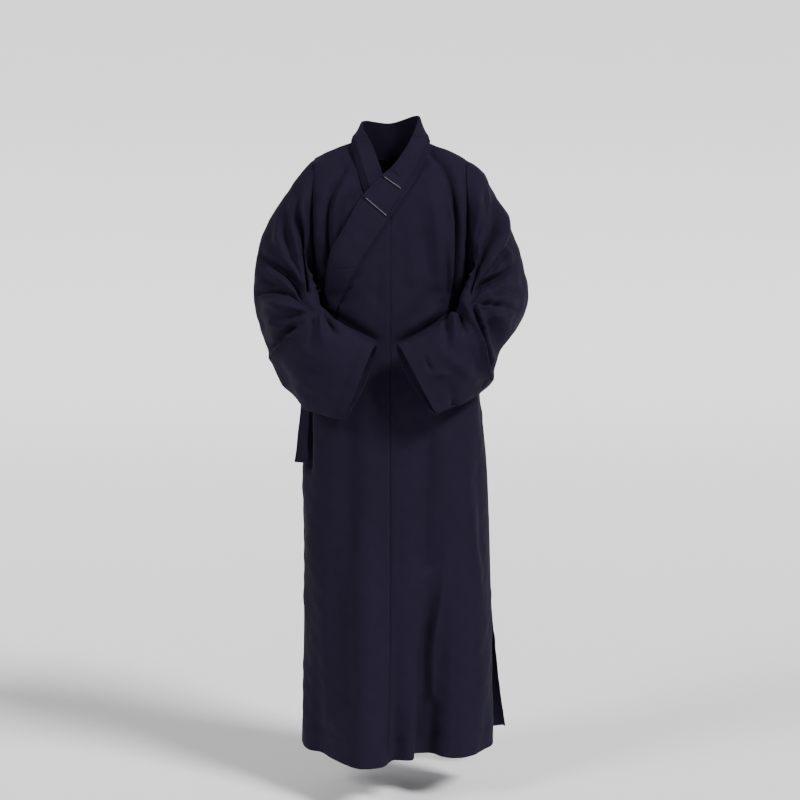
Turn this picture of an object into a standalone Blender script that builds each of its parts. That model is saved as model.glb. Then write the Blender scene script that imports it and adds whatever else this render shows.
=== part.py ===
"""A long cross-collar monk's robe, standing as it is worn, with no wearer.

Metres, +Z up. The origin is the middle of the neck opening at the height where the
shoulders carry the cloth. The front faces -Y and the wearer's left is +X.

The whole front is one surface and the whole back is another. A point on either is
given by its share across (-1 at the wearer's right side, 0 at the middle, 1 at the
left side) and its level (a row of BODY_LEVELS, from the hem to the shoulder line).
Each panel is a stretch of one of them, lifted or sunk where panels lie on each other.
"""

import math

import bpy
import numpy as np
from mathutils import Matrix, Vector
from mathutils.bvhtree import BVHTree

CLOTH = 0.0015  # wall of the body and the sleeves
COLLAR_CLOTH = 0.0018  # each collar layer is cloth folded double and pressed
SEAM_GAP = 0.0003

HEM_Z = -1.385
SLIT_TOP_Z = -0.90
ARMHOLE_Z = -0.181  # middle of the armhole
ARMHOLE_HALF_HEIGHT = 0.154
ARMHOLE_HALF_DEPTH = 0.088

# Each row: the middle front and middle back points, the x of both side edges, how far
# round the armhole the side edge has climbed (degrees), and the corner roundness.
BODY_LEVELS = (
    # name, front z, front y, back z, back y, left x, right x, armhole, round
    ("hem", HEM_Z, -0.150, HEM_Z, 0.168, 0.238, -0.204, 0, 2.3),
    ("shin", -1.240, -0.150, -1.240, 0.162, 0.238, -0.201, 0, 2.3),
    ("knee", -1.080, -0.150, -1.080, 0.155, 0.236, -0.198, 0, 2.3),
    ("thigh", -0.900, -0.150, -0.900, 0.148, 0.231, -0.197, 0, 2.3),
    ("hip", -0.720, -0.150, -0.720, 0.140, 0.223, -0.197, 0, 2.3),
    ("belly", -0.570, -0.150, -0.570, 0.130, 0.206, -0.189, 0, 2.3),
    ("waist", -0.440, -0.146, -0.440, 0.121, 0.189, -0.179, 0, 2.3),
    ("armpit", -0.335, -0.139, -0.335, 0.118, 0.175, -0.171, 0, 2.3),
    ("underarm", -0.290, -0.137, -0.290, 0.118, 0.173, -0.171, 40, 2.3),
    ("chest", -0.225, -0.133, -0.225, 0.116, 0.172, -0.173, 78, 2.3),
    ("high_chest", -0.155, -0.124, -0.155, 0.110, 0.171, -0.174, 110, 2.2),
    ("collarbone", -0.092, -0.104, -0.085, 0.098, 0.170, -0.173, 138, 2.0),
    ("yoke", -0.030, -0.068, -0.022, 0.076, 0.170, -0.172, 160, 1.9),
    ("ridge", 0.022, -0.018, 0.022, 0.026, 0.170, -0.172, 174, 1.8),
    ("shoulder", 0.026, 0.004, 0.026, 0.004, 0.170, -0.172, 180, 1.8),
)
LEVEL = {row[0]: float(i) for i, row in enumerate(BODY_LEVELS)}
SHOULDER_EDGE = LEVEL["shoulder"] - 0.02
FRONT, BACK = -1, 1

# Soft pleats of the skirt: where each meets the hem, where it starts, and its rise.
SKIRT_FOLDS = (
    # face, x at hem, x at top, top z, half width, rise at hem
    (FRONT, -0.060, -0.070, -0.78, 0.060, 0.062),
    (FRONT, 0.088, 0.118, -0.66, 0.034, -0.046),
    (FRONT, 0.160, 0.150, -0.95, 0.040, 0.020),
    (FRONT, -0.150, -0.110, -0.60, 0.026, -0.018),
    (BACK, -0.120, -0.080, -0.55, 0.036, 0.030),
    (BACK, -0.045, -0.035, -0.62, 0.030, -0.028),
    (BACK, 0.040, 0.030, -0.50, 0.036, 0.026),
    (BACK, 0.120, 0.085, -0.60, 0.030, -0.026),
)
LEFT_BACK_FLARE = 0.042  # the left rear corner of the hem kicks out beside its slit
SLIT_SPREAD = 0.030  # share of the half width that each slit has opened by the hem

# The edges of the panels beneath the collar, from the neck down, as x against z.
OUTER_NECKLINE = (
    # x, z: the outer front and its overlap, from the left neck to the right side
    (0.085, 0.010),
    (0.074, -0.028),
    (0.050, -0.072),
    (0.026, -0.112),
    (-0.012, -0.163),
    (-0.048, -0.216),
    (-0.081, -0.270),
    (-0.108, -0.324),
    (-0.134, -0.380),
    (-0.160, -0.428),
    (-0.215, -0.500),
)
INNER_NECKLINE = (
    # x, z: the inner front crosses to the left, then falls straight
    (-0.085, 0.010),
    (-0.076, -0.028),
    (-0.060, -0.075),
    (-0.044, -0.114),
    (-0.022, -0.165),
    (0.008, -0.218),
    (0.042, -0.272),
    (0.062, -0.326),
    (0.066, HEM_Z - 0.02),
)
BACK_NECKLINE = (
    # x, z: half of the back neck
    (0.000, -0.024),
    (0.040, -0.020),
    (0.066, -0.010),
    (0.078, 0.000),
    (0.085, 0.012),
)

INNER_SINK = 0.0105  # the inner front lies this far under the outer one, mid-chest
INNER_COVER = ((-0.150, -0.300), (-0.130, -0.238), (-0.064, -0.121), (-0.021, -0.074), (0.030, -0.040))
INNER_RISE = 0.060  # it comes up to the open over this distance past the cover's edge
OVERLAP_LIFT = 0.0050  # the overlap rides this far over the right side seam

# Sections of each sleeve: the crook side, which becomes the top of the forearm; the
# outer side; the elbow side, which becomes the hanging bottom; the side to the body.
LEFT_SLEEVE = (
    # name, crook, outer, bottom, inner
    ("cap", (0.186, -0.099, -0.182), (0.215, -0.002, -0.062), (0.200, 0.092, -0.180), (0.182, 0.000, -0.342)),
    ("upper_arm", (0.189, -0.107, -0.236), (0.266, -0.012, -0.166), (0.236, 0.098, -0.250), (0.191, 0.004, -0.350)),
    ("above_elbow", (0.184, -0.118, -0.288), (0.297, -0.028, -0.258), (0.262, 0.088, -0.345), (0.200, 0.008, -0.366)),
    ("elbow", (0.174, -0.130, -0.328), (0.304, -0.060, -0.326), (0.266, 0.052, -0.425), (0.208, 0.002, -0.402)),
    ("elbow_turn", (0.160, -0.142, -0.352), (0.272, -0.126, -0.376), (0.236, -0.010, -0.486), (0.210, -0.034, -0.438)),
    ("forearm", (0.136, -0.158, -0.374), (0.216, -0.180, -0.438), (0.229, -0.074, -0.534), (0.186, -0.098, -0.462)),
    ("low_forearm", (0.085, -0.180, -0.406), (0.142, -0.214, -0.482), (0.172, -0.148, -0.570), (0.128, -0.154, -0.486)),
    ("cuff", (0.015, -0.196, -0.443), (0.060, -0.224, -0.520), (0.099, -0.198, -0.592), (0.051, -0.178, -0.514)),
)
RIGHT_SLEEVE = (
    ("cap", (-0.187, -0.099, -0.182), (-0.212, -0.002, -0.070), (-0.200, 0.092, -0.180), (-0.182, 0.000, -0.342)),
    ("upper_arm", (-0.184, -0.107, -0.240), (-0.264, -0.012, -0.150), (-0.236, 0.098, -0.250), (-0.191, 0.004, -0.350)),
    ("above_elbow", (-0.174, -0.118, -0.295), (-0.299, -0.028, -0.230), (-0.262, 0.088, -0.345), (-0.200, 0.008, -0.366)),
    ("elbow", (-0.162, -0.130, -0.338), (-0.300, -0.060, -0.298), (-0.274, 0.052, -0.425), (-0.212, 0.000, -0.400)),
    ("elbow_turn", (-0.150, -0.142, -0.360), (-0.272, -0.126, -0.362), (-0.268, -0.010, -0.484), (-0.216, -0.034, -0.438)),
    ("forearm", (-0.126, -0.158, -0.378), (-0.218, -0.180, -0.436), (-0.236, -0.074, -0.545), (-0.188, -0.098, -0.464)),
    ("low_forearm", (-0.086, -0.180, -0.408), (-0.148, -0.214, -0.486), (-0.178, -0.148, -0.590), (-0.132, -0.154, -0.486)),
    ("cuff", (-0.032, -0.196, -0.443), (-0.068, -0.224, -0.522), (-0.099, -0.198, -0.602), (-0.060, -0.178, -0.514)),
)

# The collar band from its hidden inner end, round the neck, to the right side. Each
# row gives the sewn edge, the free edge, and how far it lies down on the panels.
COLLAR_ROWS = (
    # name, sewn edge, free edge, lie
    ("inner_end", (0.044, -0.12, -0.315), (0.096, -0.12, -0.275), 1.0),
    ("inner_breast", (-0.008, -0.12, -0.210), (0.048, -0.12, -0.188), 1.0),
    ("inner_cross", (-0.048, -0.11, -0.125), (0.004, -0.11, -0.108), 1.0),
    ("inner_throat", (-0.066, -0.094, -0.080), (-0.017, -0.094, -0.066), 0.8),
    ("right_neck_front", (-0.080, -0.072, -0.026), (-0.040, -0.062, -0.004), 0.25),
    ("right_neck", (-0.089, -0.004, 0.014), (-0.060, 0.002, 0.040), 0.0),
    ("right_nape", (-0.0742, 0.0512, -0.0064), (-0.056, 0.044, 0.062), 0.0),
    ("nape", (0.000, 0.0805, -0.0262), (0.000, 0.070, 0.060), 0.0),
    ("left_nape", (0.0742, 0.0512, -0.0064), (0.058, 0.042, 0.074), 0.0),
    ("left_neck", (0.090, -0.004, 0.014), (0.058, 0.000, 0.048), 0.0),
    ("left_neck_front", (0.081, -0.073, -0.026), (0.038, -0.066, -0.002), 0.25),
    ("left_throat", (0.057, -0.098, -0.078), (0.008, -0.100, -0.046), 0.8),
    ("first_stitch", (0.034, -0.11, -0.115), (-0.021, -0.10, -0.074), 1.0),
    ("second_stitch", (-0.004, -0.12, -0.169), (-0.064, -0.12, -0.121), 1.0),
    ("breast", (-0.040, -0.12, -0.222), (-0.100, -0.11, -0.182), 1.0),
    ("low_breast", (-0.073, -0.12, -0.276), (-0.130, -0.10, -0.238), 1.0),
    ("underarm", (-0.104, -0.12, -0.338), (-0.144, -0.10, -0.300), 1.0),
    ("outer_end", (-0.132, -0.10, -0.400), (-0.146, -0.08, -0.350), 1.0),
)
COLLAR_ROW = {row[0]: float(i) for i, row in enumerate(COLLAR_ROWS)}
# Layers, from the panel outwards: first edge across the band, and its two ends.
COLLAR_LAYERS = (
    # name, first edge, first row, last row
    ("collar_base", 0.00, "inner_end", "outer_end"),
    ("collar_middle", 0.10, "inner_cross", "second_stitch"),
    ("collar_top", 0.20, "inner_cross", "first_stitch"),
)
COLLAR_LIFT = 0.0030  # the collar's lowest face over the panels it is sewn to

TIES = (
    # name, then knot, middle and tip as x, y, z, half width and the way the width runs
    (
        "tie_front",
        (-0.1870, -0.062, -0.472, 0.009, -36),
        (-0.1940, -0.068, -0.575, 0.011, -34),
        (-0.2035, -0.068, -0.727, 0.020, -34),
    ),
    (
        "tie_back",
        (-0.1930, -0.030, -0.472, 0.009, -80),
        (-0.2020, -0.032, -0.580, 0.011, -78),
        (-0.2100, -0.026, -0.690, 0.019, -75),
    ),
)
KNOT = (-0.1905, -0.045, -0.455)
KNOT_SIZE = (0.0090, 0.0200, 0.0140)

NAVY = (0.014, 0.013, 0.028, 1.0)
NAVY_ROUGHNESS = 0.78


def smooth(rows, at):
    """Values of the table at row numbers `at`, on a curve through every row."""
    rows = np.asarray(rows, float)
    at = np.clip(np.asarray(at, float), 0, len(rows) - 1)
    padded = np.concatenate([[2 * rows[0] - rows[1]], rows, [2 * rows[-1] - rows[-2]]])
    low = np.minimum(at.astype(int), len(rows) - 2)
    part = (at - low)[..., None]
    before, start, end, after = (padded[low + k] for k in range(4))
    slope_in, slope_out = (end - before) / 2, (after - start) / 2
    return (
        start * (1 + 2 * part) * (1 - part) ** 2
        + slope_in * part * (1 - part) ** 2
        + end * part**2 * (3 - 2 * part)
        - slope_out * part**2 * (1 - part)
    )


def ramp(low, high, value):
    """0 below low, 1 above high, and a smooth step between."""
    share = np.clip((np.asarray(value, float) - low) / (high - low), 0, 1)
    return share * share * (3 - 2 * share)


def power(value, exponent):
    return np.abs(np.maximum(value, 0)) ** exponent


def skirt_fold(face, x, z):
    """How far the pleats push the cloth out at x, z."""
    rise = np.zeros_like(x)
    for on_face, x_hem, x_top, z_top, half_width, at_hem in SKIRT_FOLDS:
        if on_face == face:
            down = np.clip((z_top - z) / (z_top - HEM_Z), 0, 1)
            centre = x_top + (x_hem - x_top) * down
            rise += at_hem * down**1.4 * np.exp(-(((x - centre) / half_width) ** 2))
    return rise


def body_point(face, share, level):
    """Points of the front or the back surface."""
    share, level = np.broadcast_arrays(np.asarray(share, float), np.asarray(level, float))
    row = smooth([r[1:] for r in BODY_LEVELS], level)
    front_z, front_y, back_z, back_y, left_x, right_x, climb, roundness = np.moveaxis(row, -1, 0)
    mid_z, mid_y = (front_z, front_y) if face == FRONT else (back_z, back_y)
    climb = np.radians(np.clip(climb, 0, 180))
    armhole = ramp(LEVEL["armpit"] - 0.02, LEVEL["armpit"], level)
    side_x = np.where(share >= 0, left_x, -right_x)
    side_y = face * ARMHOLE_HALF_DEPTH * np.sin(climb)
    side_z = np.where(armhole > 0, ARMHOLE_Z - ARMHOLE_HALF_HEIGHT * np.cos(climb), mid_z)
    angle = np.abs(share) * math.pi / 2
    across = power(np.sin(angle), 2 / roundness)
    x = side_x * across
    y = side_y + (mid_y - side_y) * power(np.cos(angle), 2 / roundness)
    z = side_z + (mid_z - side_z) * (1 - across**1.7)
    signed_x = np.sign(share) * x
    fade_at_side = 1 - ramp(0.86, 1.0, np.abs(share))
    y = y + face * skirt_fold(face, signed_x, z) * fade_at_side
    if face == BACK:
        kick = ramp(0.62, 1.0, share) * np.clip((-1.02 - z) / (-1.02 - HEM_Z), 0, 1) ** 1.5
        signed_x = signed_x + LEFT_BACK_FLARE * kick
        y = y + LEFT_BACK_FLARE * 2.4 * kick
    return np.stack([signed_x, y, z], axis=-1)


def surface_normal(points_of, across, along, step=1e-3):
    """Unit normals of a surface, by differences."""
    edge_a = points_of(across + step, along) - points_of(across - step, along)
    edge_b = points_of(across, along + step) - points_of(across, along - step)
    normal = np.cross(edge_a, edge_b)
    normal /= np.maximum(np.linalg.norm(normal, axis=-1, keepdims=True), 1e-12)
    return normal


def lifted_body(face, share, level, lift):
    """Body points moved out by lift along the cloth's own normal."""
    share = np.clip(share, -1 + 2e-3, 1 - 2e-3)
    normal = -face * surface_normal(lambda s, t: body_point(face, s, t), share, level)
    return body_point(face, share, level) + normal * np.asarray(lift)[..., None]


def share_at(face, level, neckline):
    """Where the row at this level meets a neckline given as x against z."""
    shares = np.linspace(-1, 1, 401)
    row = body_point(face, shares, np.full_like(shares, level))
    line = np.array(sorted(neckline, key=lambda p: p[1]))
    off = row[:, 0] - np.interp(row[:, 2], line[:, 1], line[:, 0])
    order = np.argsort(off)
    return float(np.interp(0.0, off[order], shares[order]))


def level_at_z(face, z):
    """The level whose middle point is at this height."""
    levels = np.linspace(0, len(BODY_LEVELS) - 1, 1301)
    heights = body_point(face, np.zeros_like(levels), levels)[:, 2]
    return float(np.interp(z, heights, levels))


def spaced(first, last, count, short_first=0.0, short_last=0.0):
    """Even stations, with an extra short step at either end."""
    body = list(np.linspace(first, last, count))
    step = body[1] - body[0]
    if short_first:
        body.insert(1, first + step * short_first)
    if short_last:
        body.insert(-1, last - step * short_last)
    return np.array(body)


def material(name, colour=NAVY, roughness=NAVY_ROUGHNESS):
    made = bpy.data.materials.get(name) or bpy.data.materials.new(name)
    made.use_nodes = True
    shader = made.node_tree.nodes["Principled BSDF"]
    shader.inputs["Base Color"].default_value = colour
    shader.inputs["Roughness"].default_value = roughness
    shader.inputs["Metallic"].default_value = 0.0
    made.diffuse_color = colour
    return made


def sheet_object(name, grid, wall, closed=False, outside=1.0):
    """A cloth wall: a grid of points made an open surface, thickened by Solidify.

    outside is 1 where rows x columns already face out, and -1 where they face in.
    """
    rows, columns = grid.shape[:2]
    wrap = columns if closed else columns - 1
    faces = []
    for i in range(rows - 1):
        for j in range(wrap):
            k = (j + 1) % columns
            corners = (i * columns + j, i * columns + k, (i + 1) * columns + k, (i + 1) * columns + j)
            faces.append(corners if outside > 0 else corners[::-1])
    mesh = bpy.data.meshes.new(name)
    mesh.from_pydata([tuple(p) for p in grid.reshape(-1, 3)], [], faces)
    mesh.shade_smooth()
    made = bpy.data.objects.new(name, mesh)
    GARMENT.objects.link(made)
    thicken = made.modifiers.new("wall", "SOLIDIFY")
    thicken.thickness = wall
    thicken.offset = -1.0
    thicken.use_rim = True
    made.data.materials.append(material("navy_cloth"))
    return made


def no_lift(x, z, share):
    return 0.0 * x


def body_panel(name, face, starts, ends, levels, columns, lift=no_lift):
    """A panel between two edges, each a share for every level.

    The seam gap is taken off in share, and the lift moves the panel out or in.
    """
    across = spaced(0.0, 1.0, columns, short_first=0.3, short_last=0.3)
    share = starts[:, None] + (ends - starts)[:, None] * across[None, :]
    level = np.broadcast_to(levels[:, None], share.shape)
    flat = body_point(face, share, level)
    grid = lifted_body(face, share, level, lift(flat[..., 0], flat[..., 2], share))
    return sheet_object(name, grid, CLOTH, outside=-face)


def gap_share(level, gap=SEAM_GAP / 2):
    """A gap in metres as a share of the half row, near the middle or the side."""
    row = smooth([r[1:] for r in BODY_LEVELS], level)
    quarter = (np.abs(row[..., 4]) + np.abs(row[..., 1])) / 1.28
    return gap / quarter


def slit_edge(levels, side_share):
    """The side edge: a seam above the slit, drawing back from it below."""
    z = body_point(FRONT, np.zeros_like(levels), levels)[:, 2]
    opened = np.clip((SLIT_TOP_Z - z) / (SLIT_TOP_Z - HEM_Z), 0, 1)
    return side_share * (1 - SLIT_SPREAD * opened**0.8 - 2 * gap_share(levels))


def level_stations(lowest, highest, steps):
    """Levels from one row to another, with `steps` to each row of the table."""
    count = int(round((highest - lowest) * steps)) + 1
    return np.linspace(lowest, highest, max(count, 2))


def inner_lift(x, z, share):
    """The inner front sinks under the outer collar and comes up to its own seams."""
    edge = np.array(sorted(INNER_COVER, key=lambda p: p[1]))
    open_by = np.interp(z, edge[:, 1], edge[:, 0]) - x
    buried = 1 - ramp(0.0, INNER_RISE, np.where(z > INNER_COVER[0][1], open_by, -1.0))
    return -INNER_SINK * buried * (1 - ramp(0.80, 0.985, -share))


def overlap_lift(x, z, share):
    """The overlap leaves the middle seam flush and rides over the right side seam."""
    return OVERLAP_LIFT * ramp(0.010, 0.090, -x)


def upper_levels(first, highest):
    """Levels from a row of the table to just short of the shoulder seam."""
    low = level_stations(first, LEVEL["armpit"], 2)
    return np.concatenate([low, level_stations(LEVEL["armpit"], highest, 1.6)[1:]])


def build_fronts():
    seam = gap_share(np.zeros(1))[0]
    levels = upper_levels(0, SHOULDER_EDGE)
    starts = np.array([max(share_at(FRONT, t, OUTER_NECKLINE), seam) for t in levels])
    body_panel("front_left", FRONT, starts, slit_edge(levels, 1.0), levels, 9)

    corner = level_at_z(FRONT, OUTER_NECKLINE[4][1])
    levels = upper_levels(0, corner)
    edge = -np.array([share_at(FRONT, t, OUTER_NECKLINE) for t in levels])
    starts = -np.minimum(1 - 0.5 * SLIT_SPREAD, np.maximum(edge, 0.04))
    ends = np.full(len(levels), -seam)
    body_panel("front_overlap", FRONT, starts, ends, levels, 9, overlap_lift)

    levels = upper_levels(0, SHOULDER_EDGE)
    ends = np.array([share_at(FRONT, t, INNER_NECKLINE) for t in levels])
    body_panel("front_inner", FRONT, slit_edge(levels, -1.0), ends, levels, 9, inner_lift)


def build_backs():
    seam = gap_share(np.zeros(1))[0]
    nape = level_at_z(BACK, BACK_NECKLINE[0][1] - 0.001)
    levels = upper_levels(0, SHOULDER_EDGE)
    levels[np.argmin(np.abs(levels - nape))] = nape
    inner = np.array([max(share_at(BACK, t, BACK_NECKLINE), seam) for t in levels])
    body_panel("back_left", BACK, inner, slit_edge(levels, 1.0), levels, 9)
    body_panel("back_right", BACK, slit_edge(levels, -1.0), -inner, levels, 9)


def armhole_ring(side, count):
    """The armhole seam as a ring: front, top, back, bottom."""
    levels = np.linspace(LEVEL["armpit"], LEVEL["shoulder"], 401)
    climbs = np.clip(smooth([[r[7]] for r in BODY_LEVELS], levels)[:, 0], 0, 180)
    turn = np.arange(count) * 2 * math.pi / count
    degrees = np.degrees(turn)
    on_front = (degrees <= 90) | (degrees >= 270)
    climb = np.where(degrees <= 90, degrees + 90, np.where(degrees >= 270, degrees - 270, 270 - degrees))
    level = np.interp(climb, climbs, levels)
    share = np.full(count, side * 1.0)
    front, back = body_point(FRONT, share, level), body_point(BACK, share, level)
    return np.where(on_front[:, None], front, back)


def sleeve_grid(sections, side, around, steps):
    """Rings from the armhole to the cuff, each through its section's four points."""
    turn = np.arange(around) * 2 * math.pi / around
    first = armhole_ring(side, around)
    first[:, 0] += side * 2 * SEAM_GAP
    four = np.array([section[1:] for section in sections])
    crook, outer, bottom, inner = (four[:, k] for k in range(4))
    mean = (crook + outer + bottom + inner) / 4
    uneven = (crook + bottom - outer - inner) / 4
    rings = (
        mean[:, None]
        + np.cos(turn)[None, :, None] * ((crook - bottom) / 2)[:, None]
        + np.sin(turn)[None, :, None] * ((outer - inner) / 2)[:, None]
        + np.cos(2 * turn)[None, :, None] * uneven[:, None]
    )
    rings = np.concatenate([first[None], rings])
    stations = level_stations(0, len(rings) - 1, steps)
    stations = np.insert(stations, 1, 0.08)
    flat = rings.reshape(len(rings), -1)
    return smooth(flat, stations).reshape(len(stations), around, 3)


def build_sleeves():
    for name, side, sections in (("sleeve_left", 1.0, LEFT_SLEEVE), ("sleeve_right", -1.0, RIGHT_SLEEVE)):
        grid = sleeve_grid(sections, side, 16, 1.6)
        sheet_object(name, grid, CLOTH, closed=True, outside=-side)


def front_tree():
    """The whole front as a mesh to lay the collar on."""
    shares, levels = np.meshgrid(np.linspace(-1, 1, 121), np.linspace(0, len(BODY_LEVELS) - 1, 161))
    points = body_point(FRONT, shares, levels)
    columns = shares.shape[1]
    faces = [
        (i * columns + j, i * columns + j + 1, (i + 1) * columns + j + 1, (i + 1) * columns + j)
        for i in range(shares.shape[0] - 1)
        for j in range(columns - 1)
    ]
    return BVHTree.FromPolygons([Vector(p) for p in points.reshape(-1, 3)], faces)


def laid_on(tree, point, lift):
    """The point moved along Y onto the front, then out by lift."""
    place, normal, _, _ = tree.ray_cast(Vector((point[0], -1.0, point[2])), Vector((0, 1, 0)))
    if place is None:
        return np.array(point)
    if normal.y > 0:
        normal = -normal
    return np.array(place + normal * lift)


def collar_grid(stations, across):
    """The collar's face that touches the panels, for rows and places across."""
    table = [(*sewn, *free, lie) for _, sewn, free, lie in COLLAR_ROWS]
    rows = smooth(table, stations)
    tree = front_tree()
    grid = np.zeros((len(stations), len(across), 3))
    for i, station in enumerate(stations):
        sewn, free, lie = rows[i, :3], rows[i, 3:6], float(np.clip(rows[i, 6], 0, 1))
        outer = ramp(COLLAR_ROW["left_nape"], COLLAR_ROW["left_throat"], station)
        for j, v in enumerate(across):
            standing = sewn + (free - sewn) * v
            over = overlap_lift(standing[0], standing[2], 0.0)
            under = inner_lift(standing[0], standing[2], 0.0)
            lift = COLLAR_LIFT + over * outer + under * (1 - outer)
            grid[i, j] = standing * (1 - lie) + laid_on(tree, standing, lift) * lie
    return grid


def grid_normals(grid):
    """Unit normals of a grid of points, facing away from the neck."""
    along = np.gradient(grid, axis=0)
    across = np.gradient(grid, axis=1)
    normal = np.cross(across, along)
    return normal / np.maximum(np.linalg.norm(normal, axis=-1, keepdims=True), 1e-12)


def build_collar():
    stations = np.union1d(level_stations(0, len(COLLAR_ROWS) - 1, 1.5), np.arange(len(COLLAR_ROWS)))
    across = np.array([0.0, 0.10, 0.20, 0.46, 0.73, 1.0])
    touching = collar_grid(stations, across)
    normals = grid_normals(touching)
    for k, (name, first_edge, first_row, last_row) in enumerate(COLLAR_LAYERS):
        rows = (stations >= COLLAR_ROW[first_row]) & (stations <= COLLAR_ROW[last_row])
        columns = across >= first_edge - 1e-9
        lift = (k + 1) * (COLLAR_CLOTH + SEAM_GAP)
        grid = (touching + normals * lift)[rows][:, columns]
        sheet_object(name, grid, COLLAR_CLOTH, outside=1.0)


def build_ties():
    for name, *stations in TIES:
        rows = smooth(stations, np.linspace(0, 2, 9))
        turn = np.radians(rows[:, 4])
        sideways = np.stack([np.cos(turn), np.sin(turn), 0 * turn], axis=-1) * rows[:, 3:4]
        grid = np.stack([rows[:, :3] - sideways, rows[:, :3], rows[:, :3] + sideways], axis=1)
        sheet_object(name, grid, CLOTH, outside=-1.0)
    bpy.ops.mesh.primitive_uv_sphere_add(segments=12, ring_count=6, radius=1.0, location=(0, 0, 0))
    knot = bpy.context.object
    knot.name = knot.data.name = "tie_knot"
    knot.data.transform(Matrix.Translation(KNOT) @ Matrix.Diagonal((*KNOT_SIZE, 1.0)))
    knot.data.materials.append(material("navy_cloth"))
    for collection in list(knot.users_collection):
        collection.objects.unlink(knot)
    GARMENT.objects.link(knot)


for leftover in list(bpy.data.objects):
    bpy.data.objects.remove(leftover, do_unlink=True)
GARMENT = bpy.data.collections.new("buddhist_monk_robe")
bpy.context.scene.collection.children.link(GARMENT)

build_fronts()
build_backs()
build_sleeves()
build_collar()
build_ties()
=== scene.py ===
"""A long cross-collar monk's robe in fine navy cloth, standing as it is worn.

Metres, +Z up. The front faces -Y and the wearer's left is +X. The whole front is one
surface and the whole back another; each panel is a stretch of one of them. Folds are
drawn as lines seen from the front or the back, and pushed out or in along the cloth.
"""

import math

import bpy
import numpy as np
from bpy.props import FloatProperty, FloatVectorProperty, PointerProperty
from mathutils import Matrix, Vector
from mathutils.bvhtree import BVHTree


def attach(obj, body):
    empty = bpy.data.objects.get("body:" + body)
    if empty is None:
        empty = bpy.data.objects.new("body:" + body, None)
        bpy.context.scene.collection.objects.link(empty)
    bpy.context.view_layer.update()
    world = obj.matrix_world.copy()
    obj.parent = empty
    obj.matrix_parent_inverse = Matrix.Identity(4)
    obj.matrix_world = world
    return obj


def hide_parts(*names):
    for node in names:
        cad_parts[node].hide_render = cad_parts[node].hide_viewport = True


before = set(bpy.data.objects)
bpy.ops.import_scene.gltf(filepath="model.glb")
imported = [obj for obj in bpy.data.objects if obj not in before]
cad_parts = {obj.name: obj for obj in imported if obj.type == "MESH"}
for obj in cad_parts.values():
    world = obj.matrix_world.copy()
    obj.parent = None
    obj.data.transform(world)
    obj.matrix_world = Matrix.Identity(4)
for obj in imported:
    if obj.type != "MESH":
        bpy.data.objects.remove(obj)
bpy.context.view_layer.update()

bl_info = {
    "name": "Monk's Robe",
    "version": (1, 0, 0),
    "blender": (4, 5, 0),
    "location": "View3D > Sidebar > Robe",
    "description": "Builds a long cross-collar robe as it is worn, piece by piece",
    "category": "Object",
}

HEM_Z = -1.385
SLIT_TOP_Z = -0.90
ARMHOLE_Z = -0.181  # middle of the armhole
ARMHOLE_HALF_HEIGHT = 0.154
ARMHOLE_HALF_DEPTH = 0.088
SEAM_GAP = 0.0003
COLLAR_CLOTH = 0.0018  # each collar layer is cloth folded double and pressed
COLLAR_LIFT = 0.0030  # the collar's lowest face over the panels it is sewn to
COLLAR_LENGTH, COLLAR_WIDTH = 1.30, 0.074
SLEEVE_ROUND = 0.50  # about the length round a sleeve, and along it

# Each row: the middle front and middle back points, the x of both side edges, how far
# round the armhole the side edge has climbed (degrees), and the corner roundness.
BODY_LEVELS = (
    # name, front z, front y, back z, back y, left x, right x, armhole, round
    ("hem", HEM_Z, -0.150, HEM_Z, 0.168, 0.238, -0.204, 0, 2.3),
    ("shin", -1.240, -0.150, -1.240, 0.162, 0.238, -0.201, 0, 2.3),
    ("knee", -1.080, -0.150, -1.080, 0.155, 0.236, -0.198, 0, 2.3),
    ("thigh", -0.900, -0.150, -0.900, 0.148, 0.231, -0.197, 0, 2.3),
    ("hip", -0.720, -0.150, -0.720, 0.140, 0.223, -0.197, 0, 2.3),
    ("belly", -0.570, -0.150, -0.570, 0.130, 0.206, -0.189, 0, 2.3),
    ("waist", -0.440, -0.146, -0.440, 0.121, 0.189, -0.179, 0, 2.3),
    ("armpit", -0.335, -0.139, -0.335, 0.118, 0.175, -0.171, 0, 2.3),
    ("underarm", -0.290, -0.137, -0.290, 0.118, 0.173, -0.171, 40, 2.3),
    ("chest", -0.225, -0.133, -0.225, 0.116, 0.172, -0.173, 78, 2.3),
    ("high_chest", -0.155, -0.124, -0.155, 0.110, 0.171, -0.174, 110, 2.2),
    ("collarbone", -0.092, -0.104, -0.085, 0.098, 0.170, -0.173, 138, 2.0),
    ("yoke", -0.030, -0.068, -0.022, 0.076, 0.170, -0.172, 160, 1.9),
    ("ridge", 0.022, -0.018, 0.022, 0.026, 0.170, -0.172, 174, 1.8),
    ("shoulder", 0.026, 0.004, 0.026, 0.004, 0.170, -0.172, 180, 1.8),
)
LEVEL = {row[0]: float(i) for i, row in enumerate(BODY_LEVELS)}
SHOULDER_EDGE = LEVEL["shoulder"] - 0.02
FRONT, BACK = -1, 1

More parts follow.
